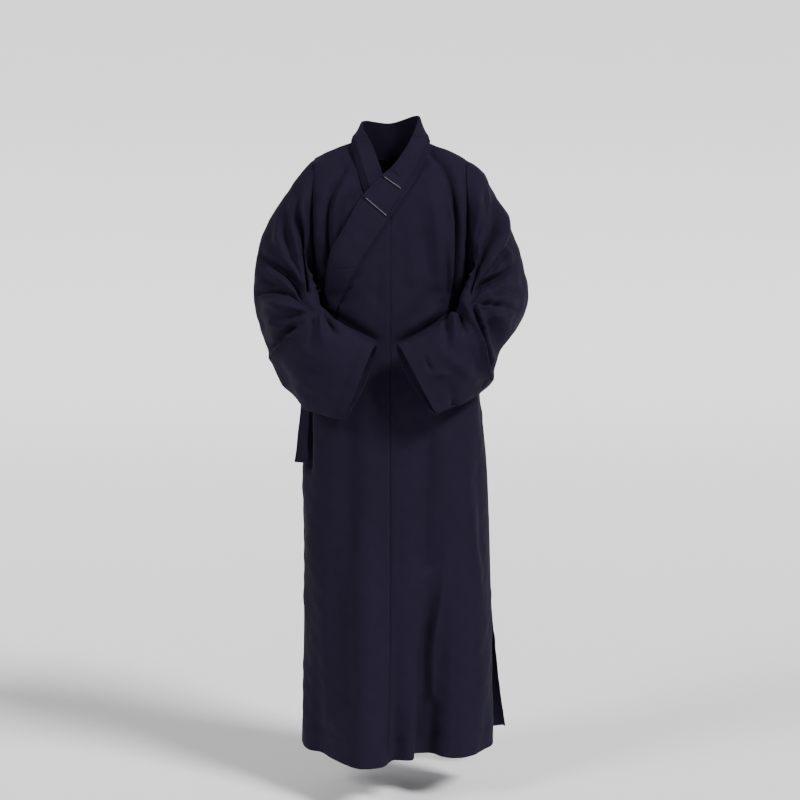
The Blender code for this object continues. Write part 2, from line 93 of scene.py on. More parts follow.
# Soft pleats of the skirt: where each meets the hem, where it starts, and its rise.
SKIRT_FOLDS = (
    # face, x at hem, x at top, top z, half width, rise at hem
    (FRONT, -0.060, -0.070, -0.78, 0.060, 0.062),
    (FRONT, 0.088, 0.118, -0.66, 0.034, -0.046),
    (FRONT, 0.160, 0.150, -0.95, 0.040, 0.020),
    (FRONT, -0.150, -0.110, -0.60, 0.026, -0.018),
    (BACK, -0.120, -0.080, -0.55, 0.036, 0.030),
    (BACK, -0.045, -0.035, -0.62, 0.030, -0.028),
    (BACK, 0.040, 0.030, -0.50, 0.036, 0.026),
    (BACK, 0.120, 0.085, -0.60, 0.030, -0.026),
)
FLARE_TOP_Z = -1.02
LEFT_BACK_FLARE = 0.042  # the left rear corner of the hem kicks out beside its slit
SLIT_SPREAD = 0.030  # share of the half width that each slit has opened by the hem

OUTER_NECKLINE = (
    # x, z: the outer front and its overlap, from the left neck to the right side
    (0.085, 0.010),
    (0.074, -0.028),
    (0.050, -0.072),
    (0.026, -0.112),
    (-0.012, -0.163),
    (-0.048, -0.216),
    (-0.081, -0.270),
    (-0.108, -0.324),
    (-0.134, -0.380),
    (-0.160, -0.428),
    (-0.215, -0.500),
)
INNER_NECKLINE = (
    # x, z: the inner front crosses to the left, then falls straight
    (-0.085, 0.010),
    (-0.076, -0.028),
    (-0.060, -0.075),
    (-0.044, -0.114),
    (-0.022, -0.165),
    (0.008, -0.218),
    (0.042, -0.272),
    (0.062, -0.326),
    (0.066, HEM_Z - 0.02),
)
BACK_NECKLINE = (
    # x, z: half of the back neck
    (0.000, -0.024),
    (0.040, -0.020),
    (0.066, -0.010),
    (0.078, 0.000),
    (0.085, 0.012),
)
INNER_SINK = 0.0105  # the inner front lies this far under the outer one, mid-chest
INNER_COVER = ((-0.150, -0.300), (-0.130, -0.238), (-0.064, -0.121), (-0.021, -0.074), (0.030, -0.040))
INNER_RISE = 0.060  # it comes up to the open over this distance past the cover's edge
OVERLAP_LIFT = 0.0050  # the overlap rides this far over the right side seam

# Sections of each sleeve: the crook side, which becomes the top of the forearm; the
# outer side; the elbow side, which becomes the hanging bottom; the side to the body.
# The last column draws the section's hanging half in to an edge.
LEFT_SLEEVE = (
    # name, crook, outer, bottom, inner, taper
    ("cap", (0.186, -0.099, -0.182), (0.215, -0.002, -0.062),
     (0.200, 0.092, -0.180), (0.182, 0.000, -0.342), 0.0),
    ("upper_arm", (0.189, -0.107, -0.236), (0.266, -0.012, -0.166),
     (0.236, 0.098, -0.250), (0.191, 0.004, -0.350), 0.0),
    ("above_elbow", (0.176, -0.118, -0.288), (0.297, -0.028, -0.258),
     (0.262, 0.088, -0.345), (0.200, 0.008, -0.366), 0.0),
    ("elbow", (0.162, -0.130, -0.328), (0.304, -0.060, -0.326),
     (0.266, 0.052, -0.425), (0.208, 0.002, -0.402), 0.0),
    ("elbow_turn", (0.153, -0.142, -0.352), (0.272, -0.126, -0.376),
     (0.236, -0.010, -0.486), (0.210, -0.034, -0.438), 0.1),
    ("forearm", (0.136, -0.158, -0.374), (0.216, -0.180, -0.438),
     (0.229, -0.074, -0.534), (0.186, -0.098, -0.462), 0.3),
    ("low_forearm", (0.085, -0.180, -0.406), (0.142, -0.214, -0.482),
     (0.172, -0.148, -0.570), (0.128, -0.154, -0.486), 0.4),
    ("cuff", (0.015, -0.196, -0.443), (0.060, -0.224, -0.520),
     (0.099, -0.198, -0.592), (0.045, -0.178, -0.526), 0.3),
)
RIGHT_SLEEVE = (
    ("cap", (-0.187, -0.099, -0.182), (-0.212, -0.002, -0.070),
     (-0.200, 0.092, -0.180), (-0.182, 0.000, -0.342), 0.0),
    ("upper_arm", (-0.184, -0.107, -0.240), (-0.264, -0.012, -0.150),
     (-0.236, 0.098, -0.250), (-0.191, 0.004, -0.350), 0.0),
    ("above_elbow", (-0.174, -0.118, -0.295), (-0.299, -0.028, -0.230),
     (-0.262, 0.088, -0.345), (-0.200, 0.008, -0.366), 0.0),
    ("elbow", (-0.162, -0.130, -0.338), (-0.300, -0.060, -0.298),
     (-0.274, 0.052, -0.425), (-0.212, 0.000, -0.400), 0.0),
    ("elbow_turn", (-0.150, -0.142, -0.360), (-0.272, -0.126, -0.362),
     (-0.268, -0.010, -0.484), (-0.216, -0.034, -0.438), 0.1),
    ("forearm", (-0.126, -0.158, -0.378), (-0.218, -0.180, -0.436),
     (-0.236, -0.074, -0.545), (-0.188, -0.098, -0.464), 0.3),
    ("low_forearm", (-0.086, -0.180, -0.408), (-0.148, -0.214, -0.486),
     (-0.178, -0.148, -0.590), (-0.132, -0.154, -0.486), 0.4),
    ("cuff", (-0.032, -0.196, -0.443), (-0.068, -0.224, -0.522),
     (-0.099, -0.198, -0.602), (-0.055, -0.178, -0.528), 0.3),
)

# The collar band from its hidden inner end, round the neck, to the right side.
COLLAR_ROWS = (
    # name, sewn edge, free edge, lie
    ("inner_end", (0.044, -0.12, -0.315), (0.096, -0.12, -0.275), 1.0),
    ("inner_breast", (-0.008, -0.12, -0.210), (0.048, -0.12, -0.188), 1.0),
    ("inner_cross", (-0.048, -0.11, -0.125), (0.004, -0.11, -0.108), 1.0),
    ("inner_throat", (-0.066, -0.094, -0.080), (-0.017, -0.094, -0.066), 0.8),
    ("right_neck_front", (-0.080, -0.072, -0.026), (-0.040, -0.062, -0.004), 0.25),
    ("right_neck", (-0.089, -0.004, 0.014), (-0.060, 0.002, 0.040), 0.0),
    ("right_nape", (-0.0765, 0.0680, -0.0170), (-0.056, 0.044, 0.062), 0.0),
    ("nape", (0.000, 0.0885, -0.0375), (0.000, 0.070, 0.060), 0.0),
    ("left_nape", (0.0765, 0.0680, -0.0170), (0.058, 0.042, 0.074), 0.0),
    ("left_neck", (0.090, -0.004, 0.014), (0.058, 0.000, 0.048), 0.0),
    ("left_neck_front", (0.081, -0.073, -0.026), (0.038, -0.066, -0.002), 0.25),
    ("left_throat", (0.057, -0.098, -0.078), (0.008, -0.100, -0.046), 0.8),
    ("first_stitch", (0.034, -0.11, -0.115), (-0.021, -0.10, -0.074), 1.0),
    ("second_stitch", (-0.004, -0.12, -0.169), (-0.064, -0.12, -0.121), 1.0),
    ("breast", (-0.040, -0.12, -0.222), (-0.100, -0.11, -0.182), 1.0),
    ("low_breast", (-0.073, -0.12, -0.276), (-0.130, -0.10, -0.238), 1.0),
    ("underarm", (-0.104, -0.12, -0.338), (-0.144, -0.10, -0.300), 1.0),
    ("outer_end", (-0.132, -0.10, -0.400), (-0.146, -0.08, -0.350), 1.0),
)
COLLAR_ROW = {row[0]: float(i) for i, row in enumerate(COLLAR_ROWS)}
COLLAR_LAYERS = (
    # name, first edge, first row, last row, flat width, flat length
    ("collar_base", 0.00, "inner_end", "outer_end", 0.060, 1.28),
    ("collar_middle", 0.10, "inner_cross", "second_stitch", 0.061, 0.68),
    ("collar_top", 0.20, "inner_cross", "first_stitch", 0.055, 0.60),
)

TIES = (
    # name, then knot, middle and tip as x, y, z, half width and the way the width runs
    (
        "tie_front",
        (-0.1870, -0.062, -0.472, 0.009, -36),
        (-0.1940, -0.068, -0.575, 0.011, -34),
        (-0.2035, -0.068, -0.716, 0.019, -34),
    ),
    (
        "tie_back",
        (-0.1930, -0.030, -0.472, 0.009, -80),
        (-0.2020, -0.032, -0.580, 0.011, -78),
        (-0.2100, -0.026, -0.690, 0.019, -75),
    ),
)
TIE_FLAT, TIE_AREA = (0.030, 0.26), 0.0064
KNOT = (-0.1905, -0.045, -0.455)
KNOT_SIZE = (0.0090, 0.0200, 0.0140)

# Folds of the cloth. Each runs along a line of x, z points as seen from the front (or
# through from the front, on the back). Heights and half widths are given at the line's
# start, middle and end; height is out of the cloth, and a low `round` makes it crisp.
FRONT_FOLDS = (
    # heights, half widths, round, line
    # down from the left shoulder, beside the armhole
    ((-0.010, -0.024, -0.024), (0.010, 0.0085, 0.010), 1.2,
     ((0.092, -0.011), (0.119, -0.044), (0.140, -0.095), (0.150, -0.157), (0.154, -0.225),
      (0.154, -0.299), (0.146, -0.360))),
    ((0.000, 0.007, 0.004), (0.006, 0.008, 0.006), 1.6,
     ((0.112, -0.070), (0.128, -0.110), (0.137, -0.165), (0.140, -0.230), (0.140, -0.300))),
    ((0.000, -0.008, -0.010), (0.006, 0.008, 0.010), 1.3,
     ((0.119, -0.190), (0.124, -0.250), (0.129, -0.310), (0.132, -0.375))),
    # soft drapes across the chest
    ((0.000, 0.008, 0.003), (0.012, 0.013, 0.012), 1.8,
     ((0.082, -0.070), (0.102, -0.180), (0.112, -0.340))),
    ((0.000, -0.007, 0.000), (0.012, 0.014, 0.016), 1.7,
     ((0.056, -0.120), (0.078, -0.230), (0.092, -0.370))),
    ((0.000, 0.005, 0.000), (0.012, 0.014, 0.014), 1.8,
     ((0.034, -0.170), (0.050, -0.270), (0.060, -0.390))),
    ((0.000, -0.004, 0.000), (0.008, 0.010, 0.012), 1.7,
     ((-0.024, -0.250), (-0.030, -0.330), (-0.050, -0.400))),
    ((-0.002, -0.004, 0.000), (0.003, 0.004, 0.004), 1.3,
     ((0.128, -0.157), (0.133, -0.168), (0.139, -0.182))),
    # the bend over the belly, where the forearms press
    ((-0.012, -0.018, -0.008), (0.008, 0.009, 0.010), 1.2,
     ((0.146, -0.364), (0.095, -0.402), (0.020, -0.438))),
    ((-0.012, -0.018, -0.008), (0.008, 0.009, 0.010), 1.2,
     ((-0.156, -0.354), (-0.106, -0.392), (-0.034, -0.432))),
    ((0.000, 0.007, 0.002), (0.010, 0.012, 0.012), 1.8,
     ((0.124, -0.352), (0.084, -0.382), (0.030, -0.414))),
    # the seam across the band, and small pulls beside its lower end
    ((0.000, -0.0020, -0.0016), (0.002, 0.002, 0.002), 1.5,
     ((-0.066, -0.272), (-0.092, -0.276), (-0.121, -0.276))),
    ((0.000, -0.0030, 0.000), (0.003, 0.003, 0.003), 1.4,
     ((-0.060, -0.276), (-0.074, -0.296), (-0.096, -0.304))),
    ((0.000, -0.0030, 0.000), (0.003, 0.003, 0.003), 1.4,
     ((-0.078, -0.302), (-0.090, -0.322), (-0.112, -0.330))),
    ((0.000, -0.0026, 0.000), (0.003, 0.003, 0.003), 1.4,
     ((-0.092, -0.330), (-0.104, -0.350), (-0.124, -0.356))),
    ((-0.003, -0.0040, 0.000), (0.003, 0.004, 0.004), 1.3,
     ((-0.010, -0.054), (0.010, -0.066), (0.024, -0.082))),
    # down from the right shoulder
    ((-0.008, -0.020, -0.022), (0.008, 0.0075, 0.009), 1.2,
     ((-0.104, -0.056), (-0.120, -0.085), (-0.134, -0.112), (-0.143, -0.165), (-0.148, -0.225),
      (-0.152, -0.290), (-0.158, -0.340))),
    ((0.000, 0.006, 0.002), (0.008, 0.010, 0.008), 1.8,
     ((-0.092, -0.070), (-0.116, -0.120), (-0.127, -0.200))),
    ((0.000, -0.004, -0.002), (0.005, 0.006, 0.006), 1.4,
     ((-0.096, -0.110), (-0.107, -0.150), (-0.112, -0.200))),
    # the skirt: behind the tie, then its long hanging folds
    ((-0.014, -0.018, -0.010), (0.005, 0.006, 0.006), 1.3,
     ((-0.178, -0.560), (-0.181, -0.650), (-0.183, -0.730))),
    ((0.000, -0.010, -0.012), (0.020, 0.024, 0.026), 1.8,
     ((-0.090, -0.500), (-0.094, -0.830), (-0.104, -1.240))),
    ((0.000, 0.004, 0.002), (0.018, 0.022, 0.026), 2.0,
     ((-0.050, -0.620), (-0.054, -0.900), (-0.050, -1.250))),
    ((0.000, 0.003, 0.004), (0.012, 0.016, 0.016), 2.0,
     ((-0.136, -0.620), (-0.142, -0.900), (-0.140, -1.300))),
    ((0.000, -0.015, -0.012), (0.016, 0.022, 0.018), 1.6,
     ((0.088, -0.500), (0.086, -0.700), (0.085, -0.940))),
    # the sharp fold from the left thigh to the hem
    ((-0.002, -0.020, -0.022), (0.016, 0.0085, 0.010), 1.2,
     ((0.086, -0.880), (0.091, -0.993), (0.087, -1.067), (0.082, -1.130), (0.078, -1.229),
      (0.071, -1.299), (0.066, -1.385))),
    ((0.000, 0.007, 0.010), (0.010, 0.010, 0.012), 1.6,
     ((0.064, -1.040), (0.052, -1.220), (0.043, -1.385))),
    ((0.001, 0.012, 0.006), (0.012, 0.009, 0.012), 1.5,
     ((0.126, -0.880), (0.116, -0.999), (0.105, -1.071), (0.096, -1.138), (0.094, -1.240))),
    ((0.001, 0.008, 0.000), (0.010, 0.011, 0.014), 1.6,
     ((0.166, -0.600), (0.178, -0.775), (0.195, -0.938), (0.212, -1.040), (0.222, -1.140))),
    ((0.000, -0.007, -0.004), (0.010, 0.013, 0.016), 1.8,
     ((0.190, -0.620), (0.208, -0.860), (0.220, -1.060))),
    # waves that end at the hem
    ((0.000, -0.007, -0.010), (0.016, 0.020, 0.022), 1.8,
     ((0.146, -0.800), (0.150, -1.100), (0.150, -1.385))),
    ((0.000, 0.004, 0.008), (0.012, 0.016, 0.016), 1.8,
     ((-0.030, -0.980), (-0.028, -1.220), (-0.026, -1.385))),
    ((0.000, -0.006, -0.018), (0.010, 0.014, 0.016), 1.4,
     ((0.010, -1.000), (0.013, -1.220), (0.016, -1.385))),
    ((0.000, -0.005, -0.008), (0.016, 0.018, 0.018), 2.0,
     ((-0.166, -0.800), (-0.172, -1.100), (-0.166, -1.385))),
)
BACK_FOLDS = (
    # from each shoulder, inside the armhole
    ((-0.004, -0.012, -0.014), (0.012, 0.010, 0.010), 1.5,
     ((0.100, -0.020), (0.130, -0.070), (0.146, -0.140), (0.152, -0.220), (0.154, -0.310))),
    ((-0.004, -0.010, -0.012), (0.012, 0.010, 0.010), 1.5,
     ((-0.104, -0.026), (-0.128, -0.080), (-0.142, -0.150), (-0.150, -0.230), (-0.153, -0.320))),
    # over the shoulder blades
    ((0.000, 0.005, 0.002), (0.014, 0.018, 0.018), 2.0,
     ((0.120, -0.120), (0.128, -0.240), (0.122, -0.400))),
    ((0.000, -0.006, -0.002), (0.014, 0.018, 0.022), 1.8,
     ((0.104, -0.200), (0.098, -0.400), (0.100, -0.640))),
    ((0.000, 0.004, 0.000), (0.014, 0.020, 0.020), 2.0,
     ((-0.118, -0.140), (-0.124, -0.260), (-0.112, -0.420))),
    ((0.000, -0.006, -0.003), (0.014, 0.018, 0.022), 1.8,
     ((-0.088, -0.240), (-0.078, -0.460), (-0.076, -0.760))),
    # the skirt
    ((0.000, 0.007, 0.006), (0.018, 0.022, 0.030), 2.0,
     ((-0.030, -0.300), (-0.020, -0.640), (-0.010, -1.100))),
    ((0.000, -0.007, -0.010), (0.016, 0.020, 0.024), 1.7,
     ((0.052, -0.420), (0.070, -0.760), (0.086, -1.160), (0.090, -1.385))),
    ((0.000, -0.008, -0.012), (0.016, 0.018, 0.020), 1.7,
     ((-0.100, -0.620), (-0.084, -0.900), (-0.082, -1.385))),
    ((0.000, 0.006, 0.010), (0.016, 0.020, 0.022), 1.9,
     ((0.150, -0.640), (0.176, -0.960), (0.186, -1.385))),
    ((0.000, 0.005, 0.006), (0.016, 0.020, 0.022), 1.9,
     ((-0.150, -0.700), (-0.158, -1.000), (-0.160, -1.385))),
)
LEFT_SLEEVE_FOLDS = (
    # down the inside of the upper arm
    ((0.000, 0.009, 0.004), (0.005, 0.007, 0.006), 1.6,
     ((0.199, -0.100), (0.197, -0.165), (0.188, -0.235))),
    ((0.000, -0.009, -0.008), (0.004, 0.006, 0.006), 1.2,
     ((0.206, -0.130), (0.200, -0.175), (0.190, -0.225), (0.182, -0.268))),
    ((0.000, -0.007, 0.000), (0.005, 0.007, 0.006), 1.5,
     ((0.214, -0.080), (0.220, -0.122), (0.211, -0.178))),
    # from the outside of the upper arm round to the crook
    ((0.000, -0.022, -0.024), (0.008, 0.009, 0.009), 1.2,
     ((0.218, -0.062), (0.236, -0.110), (0.243, -0.145), (0.238, -0.190), (0.222, -0.225),
      (0.203, -0.261), (0.186, -0.290), (0.173, -0.322))),
    ((0.000, 0.014, 0.004), (0.010, 0.013, 0.009), 1.8,
     ((0.248, -0.110), (0.259, -0.170), (0.244, -0.228), (0.212, -0.272))),
    ((0.000, -0.010, -0.008), (0.005, 0.007, 0.006), 1.3,
     ((0.272, -0.170), (0.268, -0.218), (0.246, -0.258), (0.214, -0.290))),
    ((0.000, 0.009, 0.005), (0.005, 0.006, 0.005), 1.4,
     ((0.258, -0.206), (0.266, -0.243), (0.268, -0.268))),
    # the rays that gather into the crook of the elbow
    ((-0.006, -0.024, -0.024), (0.005, 0.008, 0.009), 1.2,
     ((0.276, -0.274), (0.255, -0.288), (0.236, -0.295), (0.207, -0.307), (0.186, -0.323),
      (0.171, -0.340))),
    ((0.000, 0.014, 0.004), (0.008, 0.011, 0.008), 1.8,
     ((0.292, -0.300), (0.252, -0.317), (0.214, -0.326))),
    ((0.000, -0.008, -0.004), (0.004, 0.006, 0.005), 1.3,
     ((0.288, -0.322), (0.258, -0.330), (0.226, -0.333))),
    ((-0.006, -0.018, -0.018), (0.005, 0.006, 0.008), 1.2,
     ((0.280, -0.366), (0.250, -0.354), (0.222, -0.346), (0.198, -0.342), (0.172, -0.341))),
    ((0.000, 0.011, 0.003), (0.008, 0.012, 0.008), 1.8,
     ((0.262, -0.392), (0.234, -0.378), (0.208, -0.366))),
    ((-0.006, -0.016, -0.016), (0.005, 0.006, 0.009), 1.2,
     ((0.212, -0.380), (0.192, -0.370), (0.172, -0.345))),
    ((0.000, -0.010, 0.000), (0.005, 0.006, 0.005), 1.4,
     ((0.208, -0.398), (0.224, -0.412), (0.242, -0.418))),
    # from the crook down the forearm
    ((-0.022, -0.024, -0.016), (0.008, 0.009, 0.009), 1.2,
     ((0.180, -0.352), (0.195, -0.380), (0.209, -0.410), (0.219, -0.440), (0.227, -0.470),
      (0.234, -0.500))),
    ((-0.012, -0.018, -0.008), (0.012, 0.018, 0.016), 2.0,
     ((0.204, -0.352), (0.232, -0.400), (0.246, -0.450), (0.252, -0.490))),
    ((0.012, 0.015, 0.009), (0.005, 0.006, 0.007), 1.2,
     ((0.164, -0.350), (0.177, -0.380), (0.189, -0.408), (0.199, -0.436), (0.207, -0.466),
      (0.216, -0.495), (0.224, -0.520))),
    ((-0.020, -0.012, 0.000), (0.008, 0.007, 0.005), 1.3,
     ((0.152, -0.370), (0.158, -0.396), (0.168, -0.418))),
    ((0.008, 0.013, 0.000), (0.006, 0.008, 0.012), 1.5,
     ((0.138, -0.370), (0.140, -0.395), (0.138, -0.450))),
    ((-0.006, -0.006, 0.000), (0.008, 0.009, 0.010), 1.7,
     ((0.122, -0.400), (0.122, -0.428), (0.116, -0.470))),
    # small marks by the cuff and the hanging edge
    ((-0.003, -0.006, 0.000), (0.003, 0.004, 0.004), 1.3,
     ((0.076, -0.466), (0.083, -0.485), (0.094, -0.499))),
    ((0.001, 0.004, 0.000), (0.003, 0.005, 0.006), 1.4,
     ((0.092, -0.503), (0.118, -0.504), (0.146, -0.502))),
    ((-0.005, -0.006, 0.000), (0.004, 0.006, 0.006), 1.4,
     ((0.206, -0.540), (0.212, -0.526), (0.214, -0.510))),
    ((-0.008, -0.003, 0.000), (0.006, 0.009, 0.010), 1.6,
     ((0.142, -0.584), (0.136, -0.556), (0.128, -0.530))),
    ((0.000, 0.005, 0.003), (0.010, 0.014, 0.016), 2.0,
     ((0.100, -0.440), (0.140, -0.480), (0.190, -0.520))),
    ((0.000, -0.005, -0.002), (0.008, 0.010, 0.012), 1.6,
     ((0.166, -0.440), (0.184, -0.476), (0.196, -0.520))),
)
RIGHT_SLEEVE_FOLDS = (
    # down the inside of the upper arm
    ((0.000, 0.009, 0.003), (0.005, 0.006, 0.005), 1.6,
     ((-0.196, -0.096), (-0.194, -0.150), (-0.189, -0.200))),
    ((0.000, -0.020, -0.020), (0.006, 0.007, 0.007), 1.2,
     ((-0.210, -0.096), (-0.207, -0.145), (-0.201, -0.185), (-0.193, -0.230), (-0.186, -0.275),
      (-0.178, -0.320))),
    ((0.000, 0.008, 0.002), (0.005, 0.007, 0.005), 1.6,
     ((-0.222, -0.110), (-0.217, -0.180), (-0.203, -0.246))),
    # from the outside of the upper arm round to the crook
    ((0.000, -0.011, -0.006), (0.006, 0.009, 0.008), 1.4,
     ((-0.238, -0.120), (-0.235, -0.180), (-0.224, -0.240), (-0.204, -0.286))),
    ((0.000, 0.010, 0.000), (0.009, 0.012, 0.009), 1.8,
     ((-0.256, -0.150), (-0.250, -0.210), (-0.228, -0.262))),
    # the rays that gather into the crook of the elbow
    ((-0.006, -0.026, -0.026), (0.006, 0.009, 0.010), 1.2,
     ((-0.296, -0.242), (-0.274, -0.260), (-0.252, -0.276), (-0.228, -0.292), (-0.208, -0.309),
      (-0.190, -0.330), (-0.173, -0.356))),
    ((0.000, 0.013, 0.004), (0.007, 0.009, 0.007), 1.7,
     ((-0.286, -0.278), (-0.248, -0.298), (-0.214, -0.320))),
    ((0.000, -0.009, -0.006), (0.004, 0.006, 0.006), 1.3,
     ((-0.290, -0.298), (-0.258, -0.308), (-0.220, -0.322))),
    ((-0.008, -0.018, -0.020), (0.005, 0.007, 0.009), 1.2,
     ((-0.296, -0.330), (-0.262, -0.323), (-0.230, -0.323), (-0.204, -0.333), (-0.182, -0.352))),
    ((0.002, 0.014, 0.004), (0.008, 0.011, 0.008), 1.8,
     ((-0.286, -0.352), (-0.250, -0.353), (-0.214, -0.357))),
    ((-0.014, -0.018, -0.006), (0.007, 0.007, 0.005), 1.2,
     ((-0.178, -0.352), (-0.205, -0.373), (-0.240, -0.384))),
    ((0.006, 0.013, 0.005), (0.007, 0.007, 0.006), 1.4,
     ((-0.262, -0.398), (-0.236, -0.402), (-0.212, -0.394), (-0.184, -0.382))),
    ((-0.006, -0.020, -0.006), (0.005, 0.006, 0.005), 1.2,
     ((-0.250, -0.421), (-0.228, -0.414), (-0.208, -0.403), (-0.194, -0.395))),
    # from the crook down the forearm
    ((0.006, 0.013, 0.008), (0.005, 0.006, 0.007), 1.2,
     ((-0.186, -0.382), (-0.204, -0.402), (-0.226, -0.428), (-0.246, -0.452), (-0.264, -0.474))),
    ((0.000, -0.014, -0.012), (0.006, 0.008, 0.008), 1.3,
     ((-0.216, -0.402), (-0.243, -0.430), (-0.266, -0.450))),
    ((-0.020, -0.012, 0.000), (0.007, 0.006, 0.005), 1.2,
     ((-0.134, -0.374), (-0.124, -0.398), (-0.111, -0.424))),
    ((0.006, 0.008, 0.000), (0.008, 0.010, 0.012), 1.7,
     ((-0.152, -0.376), (-0.148, -0.410), (-0.142, -0.450))),
    ((-0.006, -0.006, 0.000), (0.006, 0.008, 0.009), 1.6,
     ((-0.168, -0.386), (-0.172, -0.420), (-0.180, -0.462))),
    ((0.000, -0.005, 0.000), (0.008, 0.011, 0.009), 1.8,
     ((-0.196, -0.476), (-0.162, -0.500), (-0.130, -0.512))),
    ((0.000, 0.005, 0.002), (0.010, 0.014, 0.016), 2.0,
     ((-0.230, -0.470), (-0.190, -0.520), (-0.130, -0.560))),
)
SLEEVE_BACK_FOLDS = (
    # drawn for the left sleeve, and mirrored for the right
    ((-0.002, -0.012, -0.012), (0.007, 0.009, 0.009), 1.5,
     ((0.186, -0.090), (0.190, -0.170), (0.186, -0.250), (0.182, -0.320))),
    ((0.000, -0.010, -0.008), (0.008, 0.010, 0.010), 1.6,
     ((0.226, -0.130), (0.222, -0.210), (0.204, -0.290))),
    ((0.000, -0.012, -0.010), (0.008, 0.010, 0.010), 1.5,
     ((0.286, -0.300), (0.250, -0.310), (0.212, -0.330))),
    ((0.000, 0.008, 0.004), (0.012, 0.014, 0.012), 2.0,
     ((0.276, -0.350), (0.240, -0.346), (0.212, -0.352))),
    ((0.000, -0.010, -0.008), (0.008, 0.009, 0.010), 1.5,
     ((0.270, -0.396), (0.236, -0.378), (0.208, -0.370))),
    ((0.000, -0.008, 0.000), (0.008, 0.010, 0.008), 1.7,
     ((0.250, -0.440), (0.222, -0.424), (0.200, -0.424))),
)

HALF_ROW = 0.30  # about the length of cloth from the middle to a side
FINE_ABOVE_Z = -0.48  # the small folds are above this, so the faces are finer there
SIDE_FADE = 0.06  # share of the half width over which folds die out at a side seam
ARMHOLE_VALLEY = 0.015  # depth of the valley along the lower armhole
PANEL_VALLEY_WIDTH, SLEEVE_VALLEY_WIDTH = 0.010, 0.011
SLEEVE_FOLD_GAIN = 1.25  # sleeves are creased more deeply than panels
CROOK_EASE, CROOK_REACH = 0.45, 0.030  # folds are shallower where they meet at the crook
GATHER_COUNT = 11
CROOKS = {"sleeve_left": (0.166, -0.336), "sleeve_right": (-0.170, -0.350)}
TUCK = 0.0022  # one panel runs this far under the other at a middle seam
HEM_DEPTH, HEM_STITCH = 0.052, 0.049
CUFF_DEPTH, CUFF_STITCH = 0.026, 0.024
COLLAR_STITCH = 0.007
COLLAR_EDGE_STITCH = 0.0025
STITCH_DIP = -0.0004
EDGE_ROLL = -0.0007

# Pressed lines beside a piece's edges: which edge, how far in, depth, and width. A
# width below zero is a step that lasts to the edge, for cloth that is turned under.
HEM_LINES = (
    ("first_row", HEM_DEPTH, 0.0007, -0.004),
    ("first_row", HEM_STITCH, STITCH_DIP, 0.0016),
)
LEFT_LINES = HEM_LINES + (("first_column", 0.0, -0.0024, 0.0026),)
RIGHT_LINES = HEM_LINES + (("last_column", 0.0, EDGE_ROLL, 0.0022),)
CUFF_LINES = (
    ("last_row", CUFF_DEPTH, 0.0006, -0.003),
    ("last_row", CUFF_STITCH, STITCH_DIP, 0.0014),
)
COLLAR_LINES = (
    ("last_column", 0.0, EDGE_ROLL, 0.0020),
    ("first_column", 0.0, EDGE_ROLL, 0.0020),
    ("last_column", COLLAR_STITCH, -0.0006, 0.0012),
    ("first_column", COLLAR_EDGE_STITCH, STITCH_DIP, 0.0012),
)

# Each panel laid flat: its width and length, and the area inside its tapered outline.
PANEL_FLATS = {
    "front_left": ((0.34, 1.42), 0.40),
    "front_overlap": ((0.32, 1.23), 0.31),
    "front_inner": ((0.36, 1.42), 0.43),
    "back_left": ((0.34, 1.42), 0.39),
    "back_right": ((0.32, 1.42), 0.37),
    "sleeve_left": ((0.56, 0.54), 0.29),
    "sleeve_right": ((0.56, 0.54), 0.29),
}

# piece, thread, then pitch, stitch length and thread width, and the thread's colour
THREADS = (
    ("topstitching", "navy_thread", (0.0034, 0.0026, 0.0007), (0.0080, 0.0062, 0.0140)),
    ("white_stitching", "white_thread", (0.0022, 0.0024, 0.0010), (0.34, 0.34, 0.37)),
)


def smooth(rows, at):
    """Values of the table at row numbers `at`, on a curve through every row."""
    rows = np.asarray(rows, float)
    at = np.clip(np.asarray(at, float), 0, len(rows) - 1)
    padded = np.concatenate([[2 * rows[0] - rows[1]], rows, [2 * rows[-1] - rows[-2]]])
    low = np.minimum(at.astype(int), len(rows) - 2)
    part = (at - low)[..., None]
    before, start, end, after = (padded[low + k] for k in range(4))
    slope_in, slope_out = (end - before) / 2, (after - start) / 2
    return (
        start * (1 + 2 * part) * (1 - part) ** 2
        + slope_in * part * (1 - part) ** 2
        + end * part**2 * (3 - 2 * part)
        - slope_out * part**2 * (1 - part)
    )


def ramp(low, high, value):
    """0 below low, 1 above high, and a smooth step between."""
    share = np.clip((np.asarray(value, float) - low) / (high - low), 0, 1)
    return share * share * (3 - 2 * share)


def power(value, exponent):
    """A power that stays at 0 for values below 0."""
    return np.abs(np.maximum(value, 0)) ** exponent


def skirt_fold(face, x, z):
    """How far the pleats push the cloth out at x, z."""
    rise = np.zeros_like(x)
    for on_face, x_hem, x_top, z_top, half_width, at_hem in SKIRT_FOLDS:
        if on_face == face:
            down = np.clip((z_top - z) / (z_top - HEM_Z), 0, 1)
            centre = x_top + (x_hem - x_top) * down
            rise += at_hem * down**1.4 * np.exp(-(((x - centre) / half_width) ** 2))
    return rise


